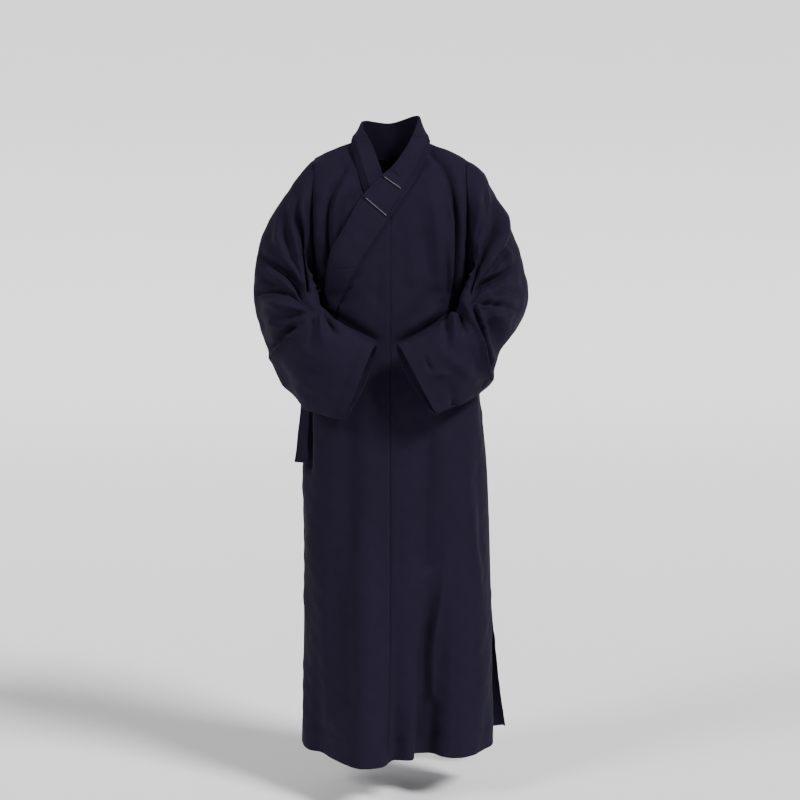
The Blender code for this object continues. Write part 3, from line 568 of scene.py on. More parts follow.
def body_point(face, share, level):
    """Points of the front or the back surface."""
    share, level = np.broadcast_arrays(np.asarray(share, float), np.asarray(level, float))
    row = smooth([r[1:] for r in BODY_LEVELS], level)
    front_z, front_y, back_z, back_y, left_x, right_x, climb, roundness = np.moveaxis(row, -1, 0)
    mid_z, mid_y = (front_z, front_y) if face == FRONT else (back_z, back_y)
    climb = np.radians(np.clip(climb, 0, 180))
    armhole = ramp(LEVEL["armpit"] - 0.02, LEVEL["armpit"], level)
    side_x = np.where(share >= 0, left_x, -right_x)
    side_y = face * ARMHOLE_HALF_DEPTH * np.sin(climb)
    side_z = np.where(armhole > 0, ARMHOLE_Z - ARMHOLE_HALF_HEIGHT * np.cos(climb), mid_z)
    angle = np.abs(share) * math.pi / 2
    across = power(np.sin(angle), 2 / roundness)
    x = side_x * across
    y = side_y + (mid_y - side_y) * power(np.cos(angle), 2 / roundness)
    z = side_z + (mid_z - side_z) * (1 - across**1.7)
    signed_x = np.sign(share) * x
    fade_at_side = 1 - ramp(0.86, 1.0, np.abs(share))
    y = y + face * skirt_fold(face, signed_x, z) * fade_at_side
    if face == BACK:
        kick = ramp(0.62, 1.0, share) * np.clip((FLARE_TOP_Z - z) / (FLARE_TOP_Z - HEM_Z), 0, 1) ** 1.5
        signed_x = signed_x + LEFT_BACK_FLARE * kick
        y = y + LEFT_BACK_FLARE * 2.4 * kick
    return np.stack([signed_x, y, z], axis=-1)


def unit(vectors):
    """The vectors at length 1."""
    return vectors / np.maximum(np.linalg.norm(vectors, axis=-1, keepdims=True), 1e-12)


def body_normal(face, share, level, step=1e-3):
    """Unit normals of the front or back surface, pointing out."""
    share = np.clip(share, -1 + 2e-3, 1 - 2e-3)
    edge_a = body_point(face, share + step, level) - body_point(face, share - step, level)
    edge_b = body_point(face, share, level + step) - body_point(face, share, level - step)
    return -face * unit(np.cross(edge_a, edge_b))


def share_at(face, level, neckline):
    """Where the row at this level meets a neckline given as x against z."""
    shares = np.linspace(-1, 1, 401)
    row = body_point(face, shares, np.full_like(shares, level))
    line = np.array(sorted(neckline, key=lambda p: p[1]))
    off = row[:, 0] - np.interp(row[:, 2], line[:, 1], line[:, 0])
    order = np.argsort(off)
    return float(np.interp(0.0, off[order], shares[order]))


def level_at_z(face, z):
    """The level whose middle point is at this height."""
    levels = np.linspace(0, len(BODY_LEVELS) - 1, 1301)
    heights = body_point(face, np.zeros_like(levels), levels)[:, 2]
    return float(np.interp(z, heights, levels))


def levels_between(first, last, cell):
    """Levels from one to another, about one cell apart, and closer where folds are small."""
    fine = np.linspace(first, last, 800)
    points = body_point(FRONT, np.full_like(fine, 0.35), fine)
    step = np.linalg.norm(np.diff(points, axis=0), axis=1)
    step /= np.where(points[1:, 2] > FINE_ABOVE_Z, 0.78, 1.12)
    run = np.concatenate([[0], np.cumsum(step)])
    return np.interp(np.linspace(0, run[-1], int(run[-1] / cell) + 1), run, fine)


def gap_share(level, gap=SEAM_GAP / 2):
    """A gap in metres as a share of the half row, near the middle or the side."""
    row = smooth([r[1:] for r in BODY_LEVELS], level)
    front_depth, half_width = np.abs(row[..., 1]), np.abs(row[..., 4])
    return gap * 1.28 / (half_width + front_depth)


def slit_edge(levels, side_share):
    """The side edge: a seam above the slit, drawing back from it below."""
    z = body_point(FRONT, np.zeros_like(levels), levels)[:, 2]
    opened = np.clip((SLIT_TOP_Z - z) / (SLIT_TOP_Z - HEM_Z), 0, 1)
    return side_share * (1 - SLIT_SPREAD * opened**0.8 - 2 * gap_share(levels))


def inner_lift(x, z, share):
    """The inner front sinks under the outer collar and comes up to its own seams."""
    edge = np.array(sorted(INNER_COVER, key=lambda p: p[1]))
    open_by = np.interp(z, edge[:, 1], edge[:, 0]) - x
    buried = 1 - ramp(0.0, INNER_RISE, np.where(z > INNER_COVER[0][1], open_by, -1.0))
    return -INNER_SINK * buried * (1 - ramp(0.80, 0.985, -share))


def overlap_lift(x, z, share):
    """The overlap leaves the middle seam flush and rides over the right side seam."""
    return OVERLAP_LIFT * ramp(0.010, 0.090, -x)


def no_lift(x, z, share):
    """Most panels lie on the shared surface itself."""
    return 0.0 * x


def fold_heights(x, z, folds, mirror=1.0):
    """The folds at x, z, each along its own line. Where they meet, the deepest leads."""
    flat = np.stack([x.ravel() * mirror, z.ravel()], axis=-1)
    ridges, valleys = np.zeros(len(flat)), np.zeros(len(flat))
    for heights, widths, roundness, line in folds:
        path = smooth(line, np.linspace(0, len(line) - 1, 5 * (len(line) - 1) + 1))
        start, run = path[:-1], np.diff(path, axis=0)
        reach = 4 * max(widths)
        near = np.all((flat > path.min(0) - reach) & (flat < path.max(0) + reach), axis=1)
        if not near.any():
            continue
        offset = flat[near][:, None] - start[None]
        part = np.clip((offset * run).sum(-1) / (run * run).sum(-1), 0, 1)
        away = np.linalg.norm(offset - part[..., None] * run, axis=-1)
        closest = np.argmin(away, axis=1)
        picked = np.arange(len(closest))
        along = (closest + part[picked, closest]) / len(run)
        height = np.interp(along, (0, 0.5, 1), heights)
        width = np.interp(along, (0, 0.5, 1), widths)
        height = height * np.exp(-((away[picked, closest] / width) ** roundness))
        ridges[near] += np.maximum(height, 0) ** 3
        valleys[near] += np.maximum(-height, 0) ** 3
    return (np.cbrt(ridges) - np.cbrt(valleys)).reshape(x.shape)


def gathered(x, z, crook, count, phase):
    """Small creases that spread from the crook, about -1 to 1, fading in and out."""
    over, up = x - crook[0], z - crook[1]
    reach, turn = np.hypot(over, up), np.arctan2(up, over)
    wave = np.sin(count * turn + phase + 5 * np.sin(18 * reach + phase))
    return (1 - np.abs(wave) ** 0.7 * 2) * ramp(0.006, 0.045, reach) * (1 - ramp(0.07, 0.17, reach))


def crumple(points, size, seed, waves=9, upright=0.75):
    """A soft uneven field, about -1 to 1, that varies over `size`."""
    random = np.random.default_rng(seed)
    total = np.zeros(points.shape[:-1])
    for _ in range(waves):
        way = random.normal(size=3)
        way *= 2 * math.pi / (size * random.uniform(0.7, 1.5)) / np.linalg.norm(way)
        way[2] *= upright
        total += np.sin(points @ way + random.uniform(0, 2 * math.pi))
    return total / math.sqrt(waves)


def relief(points, normals, front_folds, back_folds, mirror=1.0):
    """How far every fold, large and small, moves the cloth out at these points."""
    cloth = bpy.context.scene.robe_cloth
    x, z = points[..., 0], points[..., 2]
    facing = -normals[..., 1]
    seen = ramp(-0.30, 0.20, facing)
    deep = fold_heights(x, z, front_folds) * seen
    deep += fold_heights(x, z, back_folds, mirror) * (1 - seen)
    small = 1.4 * crumple(points, 0.085, 3) + 0.50 * crumple(points, 0.034, 8)
    hanging = crumple(points, 0.055, 14, upright=0.10) * ramp(-0.42, -0.62, z)
    return deep * cloth.fold_strength + (small + 1.3 * hanging) * cloth.crumple_height


def armhole_valley(base, away, width):
    """The valley along the armhole seam; where they meet, a panel and a sleeve move as one."""
    y, z = base[..., 1], base[..., 2]
    depth = ARMHOLE_VALLEY * ramp(-0.08, -0.22, z) * np.tanh(np.abs(y) / 0.035)
    move = np.zeros_like(base)
    move[..., 1] = -np.sign(y) * depth * np.exp(-((away / width) ** 1.4))
    return move


def edge_distances(grid):
    """How far each point lies from the grid's first and last row and column."""
    along = np.linalg.norm(np.diff(grid, axis=0), axis=-1)
    across = np.linalg.norm(np.diff(grid, axis=1), axis=-1)
    down = np.concatenate([np.zeros((1, grid.shape[1])), np.cumsum(along, axis=0)])
    over = np.concatenate([np.zeros((grid.shape[0], 1)), np.cumsum(across, axis=1)], axis=1)
    return {
        "first_row": down,
        "last_row": down[-1:] - down,
        "first_column": over,
        "last_column": over[:, -1:] - over,
    }


def pressed(grid, normals, lines):
    """The grid with seams, turnings and stitch lines pressed beside its edges."""
    away = edge_distances(grid)
    move = np.zeros(grid.shape[:2])
    for edge, inset, depth, width in lines:
        if width > 0:
            move += depth * np.exp(-(((away[edge] - inset) / width) ** 2))
        else:
            move += depth * (1 - ramp(inset + width, inset - width, away[edge]))
    return grid + normals * move[..., None]


def grid_normals(grid, outside, closed=False):
    """Unit normals of a grid of points; outside is 1 where columns x rows face out."""
    if closed:
        across = np.roll(grid, -1, axis=1) - np.roll(grid, 1, axis=1)
    else:
        across = np.gradient(grid, axis=1)
    return outside * unit(np.cross(across, np.gradient(grid, axis=0)))


def set_inputs(node, **values):
    """Sets a node's sockets; an underscore stands for the space in a socket's name."""
    for name, value in values.items():
        node.inputs[name.replace("_", " ")].default_value = value


def cloth_material():
    """Matt navy plain weave with a little nap; uneven dye and fine slubs."""
    made = bpy.data.materials.get("navy_weave")
    if made:
        return made
    cloth = bpy.context.scene.robe_cloth
    made = bpy.data.materials.new("navy_weave")
    made.use_nodes = True
    nodes, links = made.node_tree.nodes, made.node_tree.links
    shader = nodes["Principled BSDF"]
    set_inputs(shader, Roughness=0.80, Specular_IOR_Level=0.06, Specular_Tint=(0.62, 0.58, 1.0, 1.0))
    set_inputs(shader, Sheen_Weight=0.003, Sheen_Roughness=0.45, Sheen_Tint=(0.62, 0.60, 0.86, 1.0))
    place = nodes.new("ShaderNodeTexCoord")
    blotch = nodes.new("ShaderNodeTexNoise")
    set_inputs(blotch, Scale=9.0, Detail=5.0)
    shade = nodes.new("ShaderNodeMix")
    shade.data_type = "RGBA"
    share, dark, light = (shade.inputs[k] for k in (0, 6, 7))  # the colour sockets of the mix
    dark.default_value = tuple(c * 0.90 for c in cloth.colour) + (1.0,)
    light.default_value = tuple(c * 1.12 for c in cloth.colour) + (1.0,)
    links.new(place.outputs["Object"], blotch.inputs["Vector"])
    links.new(blotch.outputs["Fac"], share)
    links.new(shade.outputs[2], shader.inputs["Base Color"])
    weave = nodes.new("ShaderNodeMapping")
    set_inputs(weave, Scale=(1.0, 1.0, 0.35))
    slub = nodes.new("ShaderNodeTexNoise")
    set_inputs(slub, Scale=420.0, Detail=3.0)
    bump = nodes.new("ShaderNodeBump")
    set_inputs(bump, Strength=0.35, Distance=0.0006)
    links.new(place.outputs["Object"], weave.inputs["Vector"])
    links.new(weave.outputs["Vector"], slub.inputs["Vector"])
    links.new(slub.outputs["Fac"], bump.inputs["Height"])
    links.new(bump.outputs["Normal"], shader.inputs["Normal"])
    made.diffuse_color = (*cloth.colour, 1.0)
    return made


def plain_material(name, colour, roughness):
    """A matt material in one colour, for thread and for the floor."""
    made = bpy.data.materials.get(name) or bpy.data.materials.new(name)
    made.use_nodes = True
    shader = made.node_tree.nodes["Principled BSDF"]
    set_inputs(shader, Base_Color=(*colour, 1.0), Roughness=roughness, Specular_IOR_Level=0.10)
    made.diffuse_color = (*colour, 1.0)
    return made


def cloth_piece(name, grid, normals, wall, closed=False, outside=1.0):
    """A closed thin wall whose outer face is the grid, with its inner face `wall` in."""
    rows, columns = grid.shape[:2]
    inner = grid - normals * wall
    points = np.concatenate([grid.reshape(-1, 3), inner.reshape(-1, 3)])
    index = np.arange(rows * columns).reshape(rows, columns)
    if closed:
        index = np.concatenate([index, index[:, :1]], axis=1)
    first = np.stack([index[:-1, :-1], index[:-1, 1:], index[1:, 1:], index[1:, :-1]], axis=-1)
    first = first.reshape(-1, 4)
    ring = [index[0], index[-1][::-1]]
    if not closed:
        ring = [index[0], index[:, -1], index[-1][::-1], index[::-1, 0]]
    rim = np.concatenate([np.stack([r[1:], r[:-1]], axis=-1) for r in ring])
    deep = rows * columns
    rims = np.concatenate([rim, rim[:, ::-1] + deep], axis=1)
    quads = np.concatenate([first, first[:, ::-1] + deep, rims])
    if outside < 0:
        quads = quads[:, ::-1]
    mesh = bpy.data.meshes.new(name)
    mesh.vertices.add(len(points))
    mesh.vertices.foreach_set("co", points.ravel())
    mesh.loops.add(quads.size)
    mesh.loops.foreach_set("vertex_index", quads.ravel().astype(np.int32))
    mesh.polygons.add(len(quads))
    mesh.polygons.foreach_set("loop_start", np.arange(0, quads.size, 4, dtype=np.int32))
    mesh.update(calc_edges=True)
    mesh.validate()
    mesh.shade_smooth()
    made = bpy.data.objects.new(name, mesh)
    bpy.context.scene.collection.objects.link(made)
    made.data.materials.append(cloth_material())
    return made


STITCH_RUNS = {thread: [] for _, thread, _, _ in THREADS}


def note_run(thread, points, normals, height=0.0004):
    """Keeps a line of stitching that lies this high on these points, to be sewn later."""
    STITCH_RUNS[thread].append(np.asarray(points) + np.asarray(normals) * height)


def inset_line(grid, normals, edge, inset):
    """The line that runs this far in from one edge of a grid, and its normals."""
    away = edge_distances(grid)[edge]
    if edge.endswith("row"):
        away, grid, normals = away.T, grid.swapaxes(0, 1), normals.swapaxes(0, 1)
    if edge.startswith("last"):
        away, grid, normals = away[:, ::-1], grid[:, ::-1], normals[:, ::-1]
    line, facing = [], []
    for distance, points, outs in zip(away, grid, normals):
        if distance[-1] > inset:
            at = np.interp(inset, distance, np.arange(len(distance)))
            low, part = int(at), at - int(at)
            high = min(low + 1, len(points) - 1)
            line.append(points[low] * (1 - part) + points[high] * part)
            facing.append(outs[low])
    return np.array(line), np.array(facing)


def stitch_tree():
    """Geometry nodes that sew an evenly pitched row of stitches along a line."""
    tree = bpy.data.node_groups.get("stitch_row")
    if tree:
        return tree
    tree = bpy.data.node_groups.new("stitch_row", "GeometryNodeTree")
    face = tree.interface
    face.new_socket("Line", in_out="INPUT", socket_type="NodeSocketGeometry")
    for name, value in (("Pitch", 0.0030), ("Stitch Length", 0.0022), ("Thread Width", 0.0004)):
        socket = face.new_socket(name, in_out="INPUT", socket_type="NodeSocketFloat")
        socket.default_value = value
    face.new_socket("Thread", in_out="INPUT", socket_type="NodeSocketMaterial")
    face.new_socket("Stitches", in_out="OUTPUT", socket_type="NodeSocketGeometry")
    nodes = tree.nodes
    given, made = nodes.new("NodeGroupInput"), nodes.new("NodeGroupOutput")
    curve = nodes.new("GeometryNodeMeshToCurve")
    spots = nodes.new("GeometryNodeCurveToPoints")
    spots.mode = "LENGTH"
    bead = nodes.new("GeometryNodeMeshIcoSphere")
    set_inputs(bead, Radius=0.5, Subdivisions=1)
    turn = nodes.new("FunctionNodeAlignRotationToVector")
    turn.axis = "X"
    size = nodes.new("ShaderNodeCombineXYZ")
    place = nodes.new("GeometryNodeInstanceOnPoints")
    realize = nodes.new("GeometryNodeRealizeInstances")
    finish = nodes.new("GeometryNodeSetMaterial")
    for start, out_name, end, in_name in (
        (given, "Line", curve, "Mesh"),
        (curve, "Curve", spots, "Curve"),
        (given, "Pitch", spots, "Length"),
        (spots, "Tangent", turn, "Vector"),
        (given, "Stitch Length", size, "X"),
        (given, "Thread Width", size, "Y"),
        (given, "Thread Width", size, "Z"),
        (spots, "Points", place, "Points"),
        (bead, "Mesh", place, "Instance"),
        (turn, "Rotation", place, "Rotation"),
        (size, "Vector", place, "Scale"),
        (place, "Instances", realize, "Geometry"),
        (realize, "Geometry", finish, "Geometry"),
        (given, "Thread", finish, "Material"),
        (finish, "Geometry", made, "Stitches"),
    ):
        tree.links.new(start.outputs[out_name], end.inputs[in_name])
    return tree


def sew(name, runs, thread, pitch, length, width):
    """A piece with a stitch every `pitch` along each of the runs."""
    points = np.concatenate(runs)
    edges, first = [], 0
    for run in runs:
        edges += [(first + k, first + k + 1) for k in range(len(run) - 1)]
        first += len(run)
    lines = bpy.data.meshes.new(name)
    lines.from_pydata(points.tolist(), edges, [])
    piece = bpy.data.objects.new(name, lines)
    bpy.context.scene.collection.objects.link(piece)
    tree = stitch_tree()
    rows = piece.modifiers.new("stitches", "NODES")
    rows.node_group = tree
    values = {"Pitch": pitch, "Stitch Length": length, "Thread Width": width, "Thread": thread}
    for socket in tree.interface.items_tree:
        if socket.item_type == "SOCKET" and socket.name in values:
            rows[socket.identifier] = values[socket.name]
    graph = bpy.context.evaluated_depsgraph_get()
    sewn = bpy.data.meshes.new_from_object(piece.evaluated_get(graph), depsgraph=graph)
    piece.modifiers.clear()
    piece.data = sewn
    sewn.name = name
    sewn.shade_smooth()
    if not sewn.polygons:
        raise RuntimeError(f"{name} has no stitches")
    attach(piece, "root")
    return piece


def settle(piece, node, flat, area, held, rests_on):
    """Ties a finished piece to the frame."""
    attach(piece, "root")
    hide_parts(node)


def body_panel(name, face, starts, ends, levels, lines, lift=no_lift):
    """A panel between two edges, each a share for every level."""
    cloth = bpy.context.scene.robe_cloth
    widest = np.abs(ends - starts).max() * HALF_ROW
    across = np.linspace(0, 1, int(widest / cloth.cell) + 1)
    share = starts[:, None] + (ends - starts)[:, None] * across[None, :]
    level = np.broadcast_to(levels[:, None], share.shape)
    base, normals = body_point(face, share, level), body_normal(face, share, level)
    move = lift(base[..., 0], base[..., 2], share)
    at_side = 1 - ramp(1 - SIDE_FADE, 1 - 0.1 * SIDE_FADE, np.abs(share))
    move = move + relief(base, normals, FRONT_FOLDS, BACK_FOLDS) * at_side
    grid = base + normals * move[..., None]
    side = body_point(face, np.sign(starts[:1] + ends[:1]), levels)
    to_side = np.linalg.norm(base - side[:, None], axis=-1)
    grid = grid + armhole_valley(base, to_side, PANEL_VALLEY_WIDTH)
    grid = pressed(grid, grid_normals(grid, -face), lines)
    normals = grid_normals(grid, -face)
    piece = cloth_piece(f"{name}_cloth", grid, normals, cloth.wall, outside=-face)
    settle(piece, name, *PANEL_FLATS[name], "hung", [])
    note_run("navy_thread", *inset_line(grid, normals, "first_row", HEM_STITCH))


class MonkRobeCloth(bpy.types.PropertyGroup):
    """The cloth itself"""

    cell: FloatProperty(
        name="Cell", description="Size of the faces along a panel", default=0.0042, unit="LENGTH"
    )
    sleeve_cell: FloatProperty(
        name="Sleeve Cell", description="Size of the faces along a sleeve", default=0.0032, unit="LENGTH"
    )
    collar_cell: FloatProperty(
        name="Collar Cell", description="Size of the faces along the collar", default=0.0024, unit="LENGTH"
    )
    wall: FloatProperty(
        name="Wall", description="Thickness of a single layer of cloth", default=0.0012, unit="LENGTH"
    )
    fold_strength: FloatProperty(
        name="Fold Strength", description="Scale of every drawn fold", default=1.0, subtype="FACTOR"
    )
    gather_height: FloatProperty(
        name="Gather Height", description="Height of the creases at the elbows", default=0.0026, unit="LENGTH"
    )
    crumple_height: FloatProperty(
        name="Crumple Height", description="Height of the small uneven rumples", default=0.0012, unit="LENGTH"
    )
    colour: FloatVectorProperty(
        name="Colour", description="Mean colour of the cloth", default=(0.0118, 0.0094, 0.0192),
        subtype="COLOR",
    )


class MonkRobeStage(bpy.types.PropertyGroup):
    """The camera, floor and lights"""

    distance: FloatProperty(
        name="Distance", description="Camera distance from the robe's middle", default=3.5, unit="LENGTH"
    )
    eye_height: FloatProperty(
        name="Eye Height", description="Camera height against the shoulders", default=-0.266, unit="LENGTH"
    )
    lens: FloatProperty(
        name="Lens", description="Focal length", default=68.3, unit="CAMERA"
    )
    floor_z: FloatProperty(
        name="Floor", description="Height of the floor", default=-1.49, unit="LENGTH"
    )


class RobeStep:
    """Shared by every step: it finishes, or it raises."""

    bl_options = {"REGISTER", "UNDO"}


class ROBE_OT_fronts(RobeStep, bpy.types.Operator):
    """Build the outer left front, its overlap and the inner right front"""

    bl_idname = "robe.fronts"
    bl_label = "Fronts"

    def execute(self, context):
        cell = context.scene.robe_cloth.cell
        seam = gap_share(np.zeros(1))[0]
        levels = levels_between(0, SHOULDER_EDGE, cell)
        tuck = -gap_share(levels, TUCK)
        starts = np.array([share_at(FRONT, t, OUTER_NECKLINE) for t in levels])
        starts = np.where(starts > seam, starts, tuck)
        body_panel("front_left", FRONT, starts, slit_edge(levels, 1.0), levels, LEFT_LINES)

        corner = level_at_z(FRONT, OUTER_NECKLINE[4][1])
        low = levels_between(0, corner, cell)
        edge = -np.array([share_at(FRONT, t, OUTER_NECKLINE) for t in low])
        starts = -np.minimum(1 - 0.5 * SLIT_SPREAD, np.maximum(edge, 0.04))
        ends = np.full(len(low), -seam)
        body_panel("front_overlap", FRONT, starts, ends, low, RIGHT_LINES, overlap_lift)

        ends = np.array([share_at(FRONT, t, INNER_NECKLINE) for t in levels])
        starts = slit_edge(levels, -1.0)
        body_panel("front_inner", FRONT, starts, ends, levels, RIGHT_LINES, inner_lift)
        return {"FINISHED"}


class ROBE_OT_backs(RobeStep, bpy.types.Operator):
    """Build the two back panels"""

    bl_idname = "robe.backs"
    bl_label = "Backs"

    def execute(self, context):
        seam = gap_share(np.zeros(1))[0]
        levels = levels_between(0, SHOULDER_EDGE, context.scene.robe_cloth.cell)
        neckline = np.array([share_at(BACK, t, BACK_NECKLINE) for t in levels])
        inner = np.maximum(neckline, seam)
        tucked = np.where(neckline > seam, neckline, -gap_share(levels, TUCK))
        body_panel("back_left", BACK, tucked, slit_edge(levels, 1.0), levels, LEFT_LINES)
        body_panel("back_right", BACK, slit_edge(levels, -1.0), -inner, levels, RIGHT_LINES)
        return {"FINISHED"}


def armhole_ring(side, count):
    """The armhole seam as a ring: front, top, back, bottom."""
    levels = np.linspace(LEVEL["armpit"], LEVEL["shoulder"], 401)
    climbs = np.clip(smooth([[r[7]] for r in BODY_LEVELS], levels)[:, 0], 0, 180)
    degrees = np.arange(count) * 360 / count
    on_front = (degrees <= 90) | (degrees >= 270)
    climb = np.where(degrees <= 90, degrees + 90, np.where(degrees >= 270, degrees - 270, 270 - degrees))
    level = np.interp(climb, climbs, levels)
    share = np.full(count, side * 1.0)
    front, back = body_point(FRONT, share, level), body_point(BACK, share, level)
    return np.where(on_front[:, None], front, back)


def sleeve_grid(sections, side, count):
    """Rings from the armhole to the cuff, each through its section's four points."""
    turn = np.arange(count) * 2 * math.pi / count
    first = armhole_ring(side, count)
    four = np.array([section[1:5] for section in sections])
    taper = np.array([section[5] for section in sections])[:, None, None]
    crook, outer, bottom, inner = (four[:, k] for k in range(4))
    mean = (crook + outer + bottom + inner) / 4
    uneven = (crook + bottom - outer - inner) / 4
    cos, sin = np.cos(turn)[None, :, None], np.sin(turn)[None, :, None]
    rings = (
        mean[:, None]
        + cos * ((crook - bottom) / 2)[:, None]
        + sin * (1 + taper * cos) * ((outer - inner) / 2)[:, None]
        + np.cos(2 * turn)[None, :, None] * uneven[:, None]
    )
    rings = np.concatenate([first[None], rings]).reshape(len(sections) + 1, -1)
    stations = np.linspace(0, len(sections), 300)
    fine = smooth(rings, stations).reshape(len(stations), count, 3)
    step = np.linalg.norm(np.diff(fine, axis=0), axis=-1).mean(axis=1)
    run = np.concatenate([[0], np.cumsum(step)])
    at = np.interp(np.linspace(0, run[-1], count), run, stations)
    return smooth(rings, at).reshape(count, count, 3)


class ROBE_OT_sleeves(RobeStep, bpy.types.Operator):
    """Build both sleeves, from the armhole seam to the open cuff"""

    bl_idname = "robe.sleeves"
    bl_label = "Sleeves"

    def execute(self, context):
        cloth = context.scene.robe_cloth
        sides = (
            ("sleeve_left", 1.0, LEFT_SLEEVE, LEFT_SLEEVE_FOLDS),
            ("sleeve_right", -1.0, RIGHT_SLEEVE, RIGHT_SLEEVE_FOLDS),
        )
        for name, side, sections, folds in sides:
            base = sleeve_grid(sections, side, int(SLEEVE_ROUND / cloth.sleeve_cell))
            normals = grid_normals(base, -side, closed=True)
            x, z, crook = base[..., 0], base[..., 2], CROOKS[name]
            move = SLEEVE_FOLD_GAIN * relief(base, normals, folds, SLEEVE_BACK_FOLDS, mirror=side)
            near = np.hypot(x - crook[0], z - crook[1])
            move *= 1 - CROOK_EASE * np.exp(-((near / CROOK_REACH) ** 2))
            spread = gathered(x, z, crook, GATHER_COUNT, 1.0 + side)
            move += cloth.gather_height * spread * ramp(-0.43, -0.38, z)
            away = edge_distances(base)
            move *= ramp(-0.001, 0.016, away["first_row"])
            valley = armhole_valley(base, away["first_row"], SLEEVE_VALLEY_WIDTH)
            grid = base + normals * move[..., None] + valley
            grid = pressed(grid, grid_normals(grid, -side, closed=True), CUFF_LINES)
            normals = grid_normals(grid, -side, closed=True)
            piece = cloth_piece(f"{name}_cloth", grid, normals, cloth.wall, closed=True, outside=-side)
            settle(piece, name, *PANEL_FLATS[name], "hung", [])
            cuff, facing = inset_line(grid, normals, "last_row", CUFF_STITCH)
            note_run("navy_thread", np.concatenate([cuff, cuff[:1]]), np.concatenate([facing, facing[:1]]))
        return {"FINISHED"}


def front_tree():
    """The whole front as a mesh to lay the collar on."""
    shares, levels = np.meshgrid(np.linspace(-1, 1, 161), np.linspace(0, len(BODY_LEVELS) - 1, 241))
    points = body_point(FRONT, shares, levels)
    columns = shares.shape[1]
    faces = [
        (i * columns + j, i * columns + j + 1, (i + 1) * columns + j + 1, (i + 1) * columns + j)
        for i in range(shares.shape[0] - 1)
        for j in range(columns - 1)
    ]
    return BVHTree.FromPolygons([Vector(p) for p in points.reshape(-1, 3)], faces)


def collar_grid(stations, across):
    """The collar's face that touches the panels: laid on the chest, upright at the neck."""
    table = [(*sewn, *free, lie) for _, sewn, free, lie in COLLAR_ROWS]
    rows = smooth(table, stations)
    sewn, free = rows[:, None, :3], rows[:, None, 3:6]
    lie = np.clip(rows[:, None, 6:7], 0, 1)
    standing = sewn + (free - sewn) * across[None, :, None]
    tree = front_tree()
    place, facing = standing.copy(), np.zeros_like(standing)
    facing[..., 1] = -1.0
    for i, j in np.ndindex(standing.shape[:2]):
        if lie[i, 0, 0] > 0:
            start = Vector((standing[i, j, 0], -1.0, standing[i, j, 2]))
            hit, normal, _, _ = tree.ray_cast(start, Vector((0, 1, 0)))
            if hit is not None:
                place[i, j] = hit
                facing[i, j] = normal if normal.y < 0 else -normal
    outer = ramp(COLLAR_ROW["left_nape"], COLLAR_ROW["left_throat"], stations)[:, None]
    x, z = standing[..., 0], standing[..., 2]
    lift = COLLAR_LIFT + overlap_lift(x, z, 0 * x) * outer + inner_lift(x, z, 0 * x) * (1 - outer)
    lift = lift + relief(place, facing, FRONT_FOLDS, BACK_FOLDS) * lie[..., 0]
    return standing * (1 - lie) + (place + facing * lift[..., None]) * lie


class ROBE_OT_collar(RobeStep, bpy.types.Operator):
    """Build the three collar layers, widest first"""

    bl_idname = "robe.collar"
    bl_label = "Collar"

    def execute(self, context):
        cell = context.scene.robe_cloth.collar_cell
        stations = np.linspace(0, len(COLLAR_ROWS) - 1, int(COLLAR_LENGTH / cell))
        across = np.linspace(0, 1, int(COLLAR_WIDTH / cell))
        touching = collar_grid(stations, across)
        normals = grid_normals(touching, 1.0)
        under = ["front_left_cloth", "back_left_cloth"]
        for k, (name, first_edge, first_row, last_row, width, length) in enumerate(COLLAR_LAYERS):
            rows = (stations >= COLLAR_ROW[first_row]) & (stations <= COLLAR_ROW[last_row])
            columns = across >= first_edge - 1e-9
            lift = (k + 1) * (COLLAR_CLOTH + SEAM_GAP)
            grid = (touching + normals * lift)[rows][:, columns]
            grid = pressed(grid, grid_normals(grid, 1.0), COLLAR_LINES)
            facing = grid_normals(grid, 1.0)
            piece = cloth_piece(f"{name}_cloth", grid, facing, COLLAR_CLOTH)
            settle(piece, name, (width, length), width * length, "folded", under)
            note_run("navy_thread", *inset_line(grid, facing, "last_column", COLLAR_STITCH))
            note_run("navy_thread", *inset_line(grid, facing, "first_column", COLLAR_EDGE_STITCH))
            if k:
                inside = slice(1, int(grid.shape[1] * 0.86))
                end = inset_line(grid, facing, "last_row", 0.0020)
                note_run("white_thread", end[0][inside], end[1][inside], 0.0007)
        return {"FINISHED"}


class ROBE_OT_stitches(RobeStep, bpy.types.Operator):
    """Sew the hem, cuff and collar lines, and the two white lines on the collar"""

    bl_idname = "robe.stitches"
    bl_label = "Stitches"

    def execute(self, context):
        for name, thread, sizes, colour in THREADS:
            sew(name, STITCH_RUNS[thread], plain_material(thread, colour, 0.8), *sizes)
        return {"FINISHED"}


